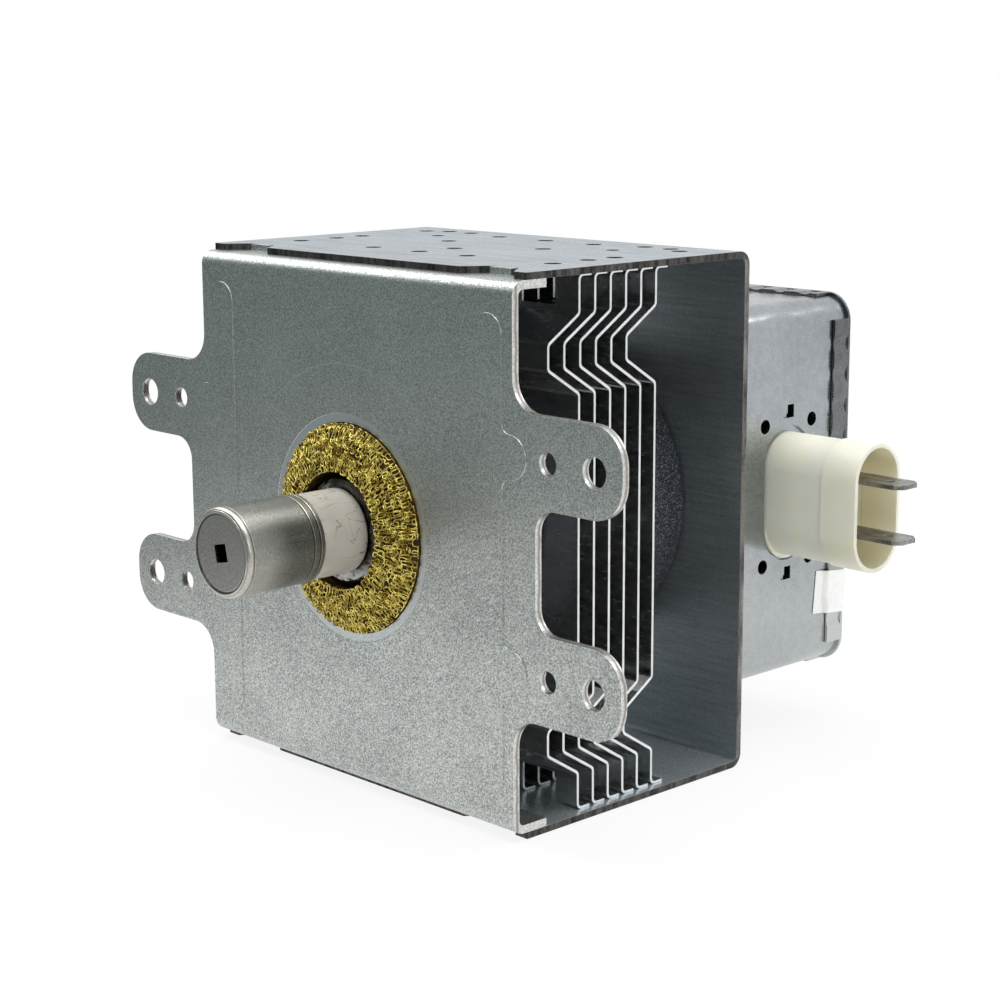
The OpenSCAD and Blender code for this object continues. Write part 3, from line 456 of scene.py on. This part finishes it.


# filter box and cover: bright drawn sheet with soft dents, paler low down as a painted reflection of the
# table
sheetLook = {
    "clouds": {"scale": 45},
    "speckle": {"scale": 2600},
    "mottle": {"scale": 600},
    "weights": (0.35, 0.4, 0.25),
    "rough": (0.32, 0.20),
    "reflectionHeights": (-10 * mm, -22 * mm),
    "pale": (0.62, 0.64, 0.62),
    "dentStrength": 0.6,
    "speckleBump": (0.15, 0.03 * mm),
}
boxLook = {
    "name": "boxZinc",
    "dark": (0.27, 0.29, 0.305),
    "light": (0.46, 0.485, 0.50),
    "dent": 1.2 * mm,
    "reflectionCover": 0.25,
}
coverLook = {
    "name": "coverZinc",
    "dark": (0.09, 0.095, 0.10),
    "light": (0.26, 0.27, 0.28),
    "dent": 0.5 * mm,
    "reflectionCover": 0.85,
}


def boxMaterial(look, name, dark, light, dent, reflectionCover):
    skin = Finish(name)
    clouds = skin.grain(**look["clouds"])
    speckle = skin.grain(**look["speckle"])
    tone = skin.mixed(look["weights"], speckle, clouds, skin.grain(**look["mottle"]))
    # painted reflection: the lower part is blended towards a pale colour where the table would be mirrored
    lowReflection = skin.ramp(skin.axes()["Z"], *look["reflectionHeights"], 0.0, reflectionCover)
    skin.give("Base Color", skin.blend(lowReflection, skin.blend(tone, dark, light), look["pale"]))
    skin.roughen(tone, look["rough"])
    skin.bump(clouds, look["dentStrength"], dent)
    skin.bump(speckle, *look["speckleBump"])
    return skin.material


# cut edges of the yoke: sheared steel, streaked and brownish, darker on the level ends
cutLook = {
    "metallic": 0.85,
    "streaks": {"scale": 900, "low": -0.2, "high": 1.2, "stretch": (1, 1, 0.15)},
    "speckle": {"scale": 2600},
    "weights": (0.6, 0.4),
    "uprightDark": (0.07, 0.065, 0.06),
    "uprightLight": (0.30, 0.285, 0.27),
    "levelDark": (0.015, 0.014, 0.013),
    "levelLight": (0.13, 0.12, 0.11),
    "levelHeights": (43.8 * mm, 44.6 * mm),
    "rough": (0.6, 0.4),
    "streakBump": (0.3, 0.08 * mm),
}


def cutEdgeMaterial(look):
    skin = Finish("cutEdge", look["metallic"])
    streaks = skin.grain(**look["streaks"])
    tone = skin.mixed(look["weights"], streaks, skin.grain(**look["speckle"]))
    upright = skin.blend(tone, look["uprightDark"], look["uprightLight"])
    level = skin.blend(tone, look["levelDark"], look["levelLight"])
    onEnds = skin.ramp(skin.maths("ABSOLUTE", skin.axes()["Z"]), *look["levelHeights"])
    skin.give("Base Color", skin.blend(onEnds, upright, level))
    skin.roughen(tone, look["rough"])
    skin.bump(streaks, *look["streakBump"])
    return skin.material


# cut rim of the plate: bright, with a torn brown band along the sheet's middle
shearedLook = {
    "metallic": 0.9,
    "wander": {"scale": 350, "low": -0.15 * mm, "high": 0.15 * mm},
    "middle": 0.85 * mm,
    "tornReach": 0.5 * mm,
    "tornCover": 0.75,
    "torn": (0.22, 0.18, 0.14),
    "speckle": {"scale": 2400},
    "dark": (0.50, 0.50, 0.48),
    "light": (0.78, 0.78, 0.75),
    "rough": (0.24, 0.5),
    "speckleBump": (0.3, 0.05 * mm),
}


def shearedMaterial(look):
    skin = Finish("shearedRim", look["metallic"])
    depth = skin.maths("ADD", skin.axes()["Y"], skin.grain(**look["wander"]))
    torn = skin.pulse(depth, look["middle"], look["tornReach"])
    speckle = skin.grain(**look["speckle"])
    bright = skin.blend(speckle, look["dark"], look["light"])
    cover = skin.maths("MULTIPLY", torn, look["tornCover"])
    skin.give("Base Color", skin.blend(cover, bright, look["torn"]))
    skin.roughen(torn, look["rough"])
    skin.bump(speckle, *look["speckleBump"])
    return skin.material


# antenna cap: satin nickel can with rolled rings, an end disc and two creases, painted darker at the rear
# and low down as shade, its grooves and creases painted dark as shade; lines are place and reach
capLook = {
    "satin": {"scale": 2600, "low": -0.2, "high": 1.2},
    "clouds": {"scale": 160},
    "weights": (0.5, 0.5),
    "dark": (0.42, 0.40, 0.36),
    "light": (0.66, 0.635, 0.58),
    "rough": (0.36, 0.26),
    "grooves": ((1.3 * mm, 0.15 * mm), (13.6 * mm, 0.22 * mm), (14.9 * mm, 0.22 * mm)),
    "endDepths": (0.9 * mm, 0.6 * mm),
    "seam": (6.5 * mm, 0.28 * mm),
    "lip": (7.05 * mm, 0.13 * mm),
    "folds": ((0.21, 0.03), (0.35, 0.03)),
    "foldRun": (11.1 * mm, 3.6 * mm),
    "foldSteepness": 3.0,
    "markWeights": (0.7, 1.0, 0.6, 0.6),
    "markCover": 0.8,
    "mark": (0.09, 0.085, 0.08),
    "markBump": (0.7, 0.15 * mm),
    "shadeDepths": (3.5 * mm, 10 * mm),
    "shadeHeights": (6 * mm, 3 * mm),
    "shadeCover": (0.1, 0.9),
    "shadeDark": (0.11, 0.10, 0.085),
    "shadeLight": (0.25, 0.235, 0.205),
    "discEdge": (6.5 * mm, 6.3 * mm),
    "discDark": (0.32, 0.315, 0.30),
    "discLight": (0.42, 0.41, 0.395),
    "satinBump": (0.25, 0.03 * mm),
}


def capMaterial(look, front):
    skin = Finish("capNickel")
    satin = skin.grain(**look["satin"])
    tone = skin.mixed(look["weights"], satin, skin.grain(**look["clouds"]))
    place = skin.axes()
    along = skin.maths("SUBTRACT", place["Y"], front)
    radius = skin.radius()
    angle = skin.maths("ARCTAN2", place["Z"], place["X"])
    onEnd = skin.ramp(along, *look["endDepths"])
    grooves = skin.pulses(along, look["grooves"])
    seam = skin.maths("MULTIPLY", skin.pulse(radius, *look["seam"]), onEnd)
    lip = skin.maths("MULTIPLY", skin.pulse(radius, *look["lip"]), onEnd)
    run = skin.maths("MULTIPLY", skin.pulse(along, *look["foldRun"]), look["foldSteepness"])
    folds = skin.maths("MULTIPLY", skin.pulses(angle, look["folds"]), skin.maths("MINIMUM", run, 1.0))
    marks = skin.mixed(look["markWeights"], grooves, seam, folds, lip)
    body = skin.blend(tone, look["dark"], look["light"])
    # painted shade: the rear and lower part of the can is darkened, its top left bright
    under = skin.ramp(place["Z"], *look["shadeHeights"], *look["shadeCover"])
    paintedShade = skin.maths("MULTIPLY", skin.ramp(along, *look["shadeDepths"]), under)
    body = skin.blend(paintedShade, body, skin.blend(tone, look["shadeDark"], look["shadeLight"]))
    inDisc = skin.maths("MULTIPLY", skin.ramp(radius, *look["discEdge"]), onEnd)
    body = skin.blend(inDisc, body, skin.blend(satin, look["discDark"], look["discLight"]))
    # painted shade: the grooves, rings and creases are darkened near black as shade in them
    cover = skin.maths("MULTIPLY", marks, look["markCover"])
    skin.give("Base Color", skin.blend(cover, body, look["mark"]))
    skin.roughen(tone, look["rough"])
    skin.bump(skin.maths("MULTIPLY", marks, -1.0), *look["markBump"])
    skin.bump(satin, *look["satinBump"])
    return skin.material


# seal sleeve: thin bright steel, crumpled, paler at the bottom as a painted reflection of the table
sealLook = {
    "roughness": 0.2,
    "dents": {"scale": 260, "low": -0.3, "high": 1.3},
    "dark": (0.035, 0.03, 0.025),
    "light": (0.13, 0.115, 0.10),
    "reflectionHeights": (-4 * mm, -8 * mm),
    "pale": (0.34, 0.34, 0.325),
    "dentBump": (0.7, 0.5 * mm),
}


def sealMaterial(look):
    skin = Finish("sealSteel", 1.0, look["roughness"])
    dents = skin.grain(**look["dents"])
    # painted reflection: the bottom is blended towards a pale colour where the table would be mirrored
    lowReflection = skin.ramp(skin.axes()["Z"], *look["reflectionHeights"])
    upper = skin.blend(dents, look["dark"], look["light"])
    skin.give("Base Color", skin.blend(lowReflection, upper, look["pale"]))
    skin.bump(dents, *look["dentBump"])
    return skin.material


# ring magnets: charcoal ferrite with a gritty face
ferriteLook = {
    "roughness": 0.5,
    "grit": {"scale": 3400, "low": -1.2, "high": 1.1},
    "dark": (0.010, 0.012, 0.016),
    "light": (0.22, 0.235, 0.265),
    "gritBump": (0.4, 0.08 * mm),
}


def ferriteMaterial(look):
    skin = Finish("ferriteCharcoal", 0.0, look["roughness"])
    grit = skin.grain(**look["grit"])
    skin.give("Base Color", skin.blend(grit, look["dark"], look["light"]))
    skin.bump(grit, *look["gritBump"])
    return skin.material


# ceramics: pinkish off-white, thin dark scratches, a bronze stain at the output's seat
ceramicLook = {
    "roughness": 0.36,
    "clouds": {"scale": 120},
    "dark": (0.46, 0.42, 0.37),
    "light": (0.60, 0.56, 0.505),
    "longMarks": {"scale": 330, "width": 0.007, "cover": 0.52, "stretch": (1, 0.35, 1)},
    "roundMarks": {"scale": 210, "width": 0.005, "cover": 0.5, "stretch": (0.5, 1.2, 0.5)},
    "markCover": 0.7,
    "mark": (0.12, 0.10, 0.09),
    "seat": (-1.8 * mm, 0.7 * mm),
    "stainCover": 0.85,
    "stain": (0.10, 0.07, 0.045),
}


def ceramicMaterial(look):
    skin = Finish("ceramicWhite", 0.0, look["roughness"])
    body = skin.blend(skin.grain(**look["clouds"]), look["dark"], look["light"])
    longMarks, roundMarks = skin.scratches(**look["longMarks"]), skin.scratches(**look["roundMarks"])
    marks = skin.maths("MAXIMUM", longMarks, roundMarks)
    body = skin.blend(skin.maths("MULTIPLY", marks, look["markCover"]), body, look["mark"])
    stain = skin.pulse(skin.axes()["Y"], *look["seat"])
    cover = skin.maths("MULTIPLY", stain, look["stainCover"])
    skin.give("Base Color", skin.blend(cover, body, look["stain"]))
    return skin.material


# connector: moulded ivory plastic, with a dark line painted along the step of its wall as shade
ivoryLook = {
    "roughness": 0.4,
    "clouds": {"scale": 140},
    "dark": (0.875, 0.81, 0.65),
    "light": (0.915, 0.86, 0.72),
    "stepShadeReach": 0.14 * mm,
    "stepShadeCover": 0.4,
    "stepShade": (0.42, 0.39, 0.31),
    "skin": {"scale": 2400},
    "skinBump": (0.05, 0.04 * mm),
    "scatter": {
        "Subsurface Weight": 0.5,
        "Subsurface Radius": (2.5 * mm, 2.1 * mm, 1.3 * mm),
        "Subsurface Scale": 1.0,
    },
}


def ivoryMaterial(look, step):
    skin = Finish("ivoryPlastic", 0.0, look["roughness"])
    body = skin.blend(skin.grain(**look["clouds"]), look["dark"], look["light"])
    # painted shade: a dark line along the step of the wall
    ledge = skin.pulse(skin.axes()["X"], step, look["stepShadeReach"])
    cover = skin.maths("MULTIPLY", ledge, look["stepShadeCover"])
    skin.give("Base Color", skin.blend(cover, body, look["stepShade"]))
    skin.bump(skin.grain(**look["skin"]), *look["skinBump"])
    for name, value in look["scatter"].items():
        skin.sockets[name].default_value = value
    return skin.material


# terminal tabs: tinned brass gone pewter, with lengthwise rubs
tabLook = {
    "metallic": 0.9,
    "rubs": {"scale": 800, "low": -0.2, "high": 1.2, "stretch": (0.25, 1, 1)},
    "speckle": {"scale": 2600},
    "weights": (0.6, 0.4),
    "dark": (0.12, 0.115, 0.105),
    "light": (0.38, 0.365, 0.34),
    "rough": (0.5, 0.3),
    "rubBump": (0.25, 0.05 * mm),
}


def tabMaterial(look):
    skin = Finish("tabTin", look["metallic"])
    rubs = skin.grain(**look["rubs"])
    tone = skin.mixed(look["weights"], rubs, skin.grain(**look["speckle"]))
    skin.give("Base Color", skin.blend(tone, look["dark"], look["light"]))
    skin.roughen(tone, look["rough"])
    skin.bump(rubs, *look["rubBump"])
    return skin.material


# gasket: brass bed painted near black as shade in the gaps between the wires, bright brass wire
brassGrain = {"tone": {"scale": 900, "low": -0.5, "high": 1.5}, "roughScale": 1800}
# painted shade: the bed under the wires is near black
bedShadeLook = {
    "name": "gasketBedShade",
    "metallic": 0.5,
    "dark": (0.03, 0.016, 0.004),
    "light": (0.12, 0.065, 0.012),
    "rough": (0.5, 0.7),
}
wireLook = {
    "name": "gasketWire",
    "metallic": 0.7,
    "dark": (0.34, 0.22, 0.025),
    "light": (1.0, 0.84, 0.22),
    "rough": (0.18, 0.34),
}


def brassMaterial(name, metallic, dark, light, rough):
    skin = Finish(name, metallic)
    skin.give("Base Color", skin.blend(skin.grain(**brassGrain["tone"]), dark, light))
    skin.give("Roughness", skin.grain(brassGrain["roughScale"], *rough))
    return skin.material


# label: blank white paper with faint fibres
paperLook = {
    "roughness": 0.55,
    "fibres": {"scale": 900, "detail": 4},
    "dark": (0.90, 0.89, 0.875),
    "light": (0.96, 0.955, 0.945),
    "fibreBump": (0.1, 0.03 * mm),
}


def paperMaterial(look):
    skin = Finish("blankPaper", 0.0, look["roughness"])
    fibres = skin.grain(**look["fibres"])
    skin.give("Base Color", skin.blend(fibres, look["dark"], look["light"]))
    skin.bump(fibres, *look["fibreBump"])
    return skin.material


# plain metals and the other inner materials, by slot; the stake marks' floors are painted near black as
# shade in the pits
plainLooks = {
    "pole_iron": {
        "name": "poleIron",
        "dark": (0.16, 0.165, 0.17),
        "light": (0.28, 0.28, 0.29),
        "rough": (0.4, 0.55),
    },
    "copper": {
        "name": "bareCopper",
        "dark": (0.20, 0.11, 0.075),
        "light": (0.36, 0.20, 0.13),
        "rough": (0.35, 0.5),
    },
    "cathode_metal": {
        "name": "cathodeMetal",
        "dark": (0.20, 0.20, 0.21),
        "light": (0.34, 0.34, 0.35),
        "rough": (0.35, 0.5),
    },
    "fin_aluminium": {
        "name": "finAluminium",
        "dark": (0.70, 0.71, 0.71),
        "light": (0.84, 0.85, 0.85),
        "rough": (0.16, 0.28),
        "scale": 500,
        "stretch": (0.3, 1, 1),
    },
    "capacitor_brown": {
        "name": "pottingBrown",
        "dark": (0.20, 0.12, 0.07),
        "light": (0.30, 0.19, 0.12),
        "rough": (0.4, 0.6),
    },
    "enamelled_wire": {
        "name": "enamelledWire",
        "dark": (0.30, 0.10, 0.04),
        "light": (0.45, 0.18, 0.08),
        "rough": (0.2, 0.3),
    },
}
pitShadeLook = {
    "name": "stakePitShade",
    "dark": (0.02, 0.02, 0.022),
    "light": (0.08, 0.08, 0.085),
    "rough": (0.5, 0.7),
    "scale": 900,
}
plainBump = (0.06, 0.03 * mm)
roughRatio = 3


def plainMetal(name, dark, light, rough, scale=300, stretch=(1, 1, 1)):
    skin = Finish(name)
    drift = skin.grain(scale, stretch=stretch)
    skin.give("Base Color", skin.blend(drift, dark, light))
    skin.give("Roughness", skin.grain(scale * roughRatio, *rough, stretch))
    skin.bump(drift, *plainBump)
    return skin.material


# finishes by slot; the thickness of the yoke's sheet and the depth of the connector's rim place two of them
yokeSheet = 1.15 * mm
socketRim = 7.6 * mm
yokeLow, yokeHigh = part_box("rear_yoke")
finishes = {
    "plate_zinc": plateMaterial(plateLook),
    "yoke_zinc": yokeMaterial(yokeLook, yokeLow.z + yokeSheet),
    "box_zinc": boxMaterial(sheetLook, **boxLook),
    "gasket_brass": brassMaterial(**bedShadeLook),
    "ferrite": ferriteMaterial(ferriteLook),
    "cap_nickel": capMaterial(capLook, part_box("antenna_cap")[0].y),
    "seal_steel": sealMaterial(sealLook),
    "white_ceramic": ceramicMaterial(ceramicLook),
    "ivory_plastic": ivoryMaterial(ivoryLook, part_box("capacitor_case")[1].x - socketRim),
    "tab_tin": tabMaterial(tabLook),
}
for slotName, plainLook in plainLooks.items():
    finishes[slotName] = plainMetal(**plainLook)
coverZinc = boxMaterial(sheetLook, **coverLook)
cutEdge = cutEdgeMaterial(cutLook)
shearedRim = shearedMaterial(shearedLook)
gasketWire = brassMaterial(**wireLook)
stakePitShade = plainMetal(**pitShadeLook)
blankPaper = paperMaterial(paperLook)
slotOf = {part["node"]: part["material_slot"] for part in frame["record"]["subparts"]}
for nodeName, item in nodes.items():
    item.data.materials.clear()
    item.data.materials.append(coverZinc if nodeName == "filter_cover" else finishes[slotOf[nodeName]])
print("finishes made")


# crisp CAD sheets get small rounded edges that catch the light; widths in mm, angles in degrees
edgeWidths = {
    "front_plate": 0.14,
    "rear_yoke": 0.12,
    "filter_box": 0.18,
    "filter_cover": 0.10,
    "capacitor_case": 0.06,
    "upper_tab": 0.10,
    "lower_tab": 0.10,
    "output_ceramic": 0.35,
    "antenna_cap": 0.06,
}
finEdge = {"fins": 6, "width": 0.10}
for number in range(finEdge["fins"]):
    edgeWidths["cooling_fin_%d" % (number + 1)] = finEdge["width"]
softEdge = {
    "merge": 1e-6,
    "flat": 0.5,
    "corner": 40,
    "segments": 2,
    "smooth": 35,
}


def selectOnly(item):
    bpy.ops.object.select_all(action="DESELECT")
    item.select_set(True)
    bpy.context.view_layer.objects.active = item


def softenedCopy(nodeName, width):
    source = nodes[nodeName]
    piece = bpy.data.objects.new(nodeName + "_soft", source.data.copy())
    bpy.context.scene.collection.objects.link(piece)
    selectOnly(piece)
    bpy.ops.object.mode_set(mode="EDIT")
    bpy.ops.mesh.select_all(action="SELECT")
    bpy.ops.mesh.remove_doubles(threshold=softEdge["merge"])
    bpy.ops.mesh.dissolve_limited(angle_limit=math.radians(softEdge["flat"]))
    bpy.ops.object.mode_set(mode="OBJECT")
    bevel = piece.modifiers.new("edge", "BEVEL")
    bevel.width = width * mm
    bevel.segments = softEdge["segments"]
    bevel.limit_method = "ANGLE"
    bevel.angle_limit = math.radians(softEdge["corner"])
    bpy.ops.object.modifier_apply(modifier="edge")
    bpy.ops.object.shade_smooth_by_angle(angle=math.radians(softEdge["smooth"]))
    weighted = piece.modifiers.new("flatFaces", "WEIGHTED_NORMAL")
    weighted.keep_sharp = True
    bpy.ops.object.modifier_apply(modifier="flatFaces")
    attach(piece, "root")
    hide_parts(nodeName)
    return piece


softPieces = {name: softenedCopy(name, width) for name, width in edgeWidths.items()}
print("edges softened on", len(softPieces), "pieces")


# faces where the sheets were cut show bare steel; the facing values are limits on a normal's parts
yokeCut = {
    "levelFacing": 0.3,
    "sideFacing": 0.7,
    "sideSlack": 0.3 * mm,
    "rimY": 9 * mm,
    "rimZ": 44 * mm,
    "pitTop": 0.1 * mm,
    "pitFloor": 0.9 * mm,
}
plateCut = {
    "facing": 0.5,
    "backY": 9 * mm,
    "bendZ": 41 * mm,
}


def paintFaces(piece, material, isWanted):
    piece.data.materials.append(material)
    wanted = [face for face in piece.data.polygons if isWanted(face.center, face.normal)]
    for face in wanted:
        face.material_index = len(piece.data.materials) - 1
    return len(wanted)


def isYokeCut(centre, normal):
    if abs(normal.z) > yokeCut["levelFacing"]:
        return False
    onSide = abs(normal.x) > yokeCut["sideFacing"] and abs(centre.x) > yokeHigh.x - yokeCut["sideSlack"]
    return onSide or (centre.y < yokeCut["rimY"] and abs(centre.z) > yokeCut["rimZ"])


def isPlateCut(centre, normal):
    if abs(normal.y) > plateCut["facing"] or centre.y > plateCut["backY"]:
        return False
    return abs(normal.x) > plateCut["facing"] or abs(centre.z) < plateCut["bendZ"]


def isStakePit(centre, normal):
    below = yokeHigh.z - abs(centre.z)
    return yokeCut["pitTop"] < below < yokeCut["pitFloor"] and centre.y > yokeCut["rimY"]


yokeCount = paintFaces(softPieces["rear_yoke"], cutEdge, isYokeCut)
# painted shade: the floors of the stake pits get a near-black finish
pitCount = paintFaces(softPieces["rear_yoke"], stakePitShade, isStakePit)
plateCount = paintFaces(softPieces["front_plate"], shearedRim, isPlateCut)
print("cut faces:", yokeCount, "and", pitCount, "on the yoke,", plateCount, "on the plate")


# knitted wire gasket, two layers of looped rows over its domed bed; lengths in mm, angles in radians
gasket = {
    "inner": 10.1,
    "crown": 2.6,
    "dome": 13.0,
    "sweep": 0.628,
    "rows": 7,
    "layers": (0.05, 0.30),
    "pitch": 1.5,
    "wire": 0.125,
    "loop": 0.95,
    "twist": 0.9,
    "cross": 0.14,
    "vary": (0.6, 0.6, 0.22),
    "drift": (7, 0.45),
    "steps": 14,
    "seed": 4,
}
fullTurn = 2 * math.pi


def knitRow(curve, rng, sweep, lift):
    centreY = gasket["dome"] - gasket["crown"]
    stitches = round(fullTurn * (gasket["inner"] + gasket["dome"] * math.sin(sweep)) / gasket["pitch"])
    wobble = [[rng.uniform(-1, 1) * size for _ in range(stitches)] for size in gasket["vary"]]
    start, swing = rng.uniform(0, fullTurn), rng.uniform(0, fullTurn)
    waves, reach = gasket["drift"]
    points = []
    for stitch in range(stitches):
        for phase in range(gasket["steps"]):
            part = phase / gasket["steps"]
            t = fullTurn * part
            longer, later, higher = [
                row[stitch] * (1 - part) + row[(stitch + 1) % stitches] * part for row in wobble]
            around = fullTurn * (stitch + part) / stitches
            out = (gasket["loop"] + longer) * math.cos(t) + reach * math.sin(waves * around + swing)
            tilt = min(max(sweep + out / gasket["dome"], 0.0), gasket["sweep"])
            height = gasket["dome"] + lift + gasket["cross"] * math.cos(2 * t) + higher
            r = gasket["inner"] + height * math.sin(tilt)
            angle = (fullTurn * stitch + t + gasket["twist"] * math.sin(2 * t)) / stitches
            angle += start + later / r
            y = centreY - height * math.cos(tilt)
            points += [r * math.cos(angle) * mm, y * mm, r * math.sin(angle) * mm, 1]
    spline = curve.splines.new("POLY")
    spline.points.add(len(points) // 4 - 1)
    spline.use_cyclic_u = True
    spline.points.foreach_set("co", points)


def knitGasket():
    rng = random.Random(gasket["seed"])
    curve = bpy.data.curves.new("gasketKnit", "CURVE")
    curve.dimensions = "3D"
    curve.bevel_depth = gasket["wire"] * mm
    curve.bevel_resolution = 0
    for lift in gasket["layers"]:
        for row in range(gasket["rows"]):
            knitRow(curve, rng, gasket["sweep"] * (row + 0.5) / gasket["rows"], lift)
    knit = bpy.data.objects.new("gasketKnit", curve)
    bpy.context.scene.collection.objects.link(knit)
    selectOnly(knit)
    bpy.ops.object.convert(target="MESH")
    knit = bpy.context.active_object
    knit.data.materials.clear()
    knit.data.materials.append(gasketWire)
    bpy.ops.object.shade_smooth()
    return knit


knitPiece = knitGasket()
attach(knitPiece, "root")
print("gasket knitted,", len(knitPiece.data.polygons), "faces")


# blank paper label on the filter box, lapped over the cover's rim; lengths in mm, angles in degrees
label = {
    "middle": (33.06, 88.95, -20.65),
    "size": 8.1,
    "turn": -5.5,
    "cells": 14,
    "rimY": 87.6,
    "rimStep": 0.68,
    "curl": 0.14,
    "curlBand": 0.02,
    "thick": 0.08,
    "smooth": 50,
}


def shiftOut(piece, isWanted, distance):
    bpy.ops.object.mode_set(mode="EDIT")
    bpy.ops.mesh.select_mode(type="VERT")
    bpy.ops.mesh.select_all(action="DESELECT")
    bpy.ops.object.mode_set(mode="OBJECT")
    for vertex in piece.data.vertices:
        vertex.select = isWanted(vertex.co)
    bpy.ops.object.mode_set(mode="EDIT")
    bpy.ops.transform.translate(value=(distance * mm, 0, 0))
    bpy.ops.object.mode_set(mode="OBJECT")


def pasteLabel():
    bpy.ops.object.select_all(action="DESELECT")
    bpy.ops.mesh.primitive_grid_add(
        x_subdivisions=label["cells"], y_subdivisions=label["cells"], size=label["size"] * mm,
        location=Vector(label["middle"]) * mm)
    piece = bpy.context.active_object
    piece.name = "paperLabel"
    piece.rotation_mode = "QUATERNION"
    face = Quaternion((0, 1, 0), math.radians(90))
    piece.rotation_quaternion = Quaternion((1, 0, 0), math.radians(label["turn"])) @ face
    bpy.ops.object.transform_apply(location=True, rotation=True, scale=True)
    shiftOut(piece, lambda at: at.y > label["rimY"] * mm, label["rimStep"])
    lowest = min(vertex.co.z for vertex in piece.data.vertices)
    shiftOut(piece, lambda at: at.z < lowest + label["curlBand"] * mm, label["curl"])
    paper = piece.modifiers.new("paper", "SOLIDIFY")
    paper.thickness = label["thick"] * mm
    paper.offset = 1
    bpy.ops.object.modifier_apply(modifier="paper")
    bpy.ops.object.shade_smooth_by_angle(angle=math.radians(label["smooth"]))
    piece.data.materials.append(blankPaper)
    return piece


labelPiece = pasteLabel()
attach(labelPiece, "root")
print("label pasted")
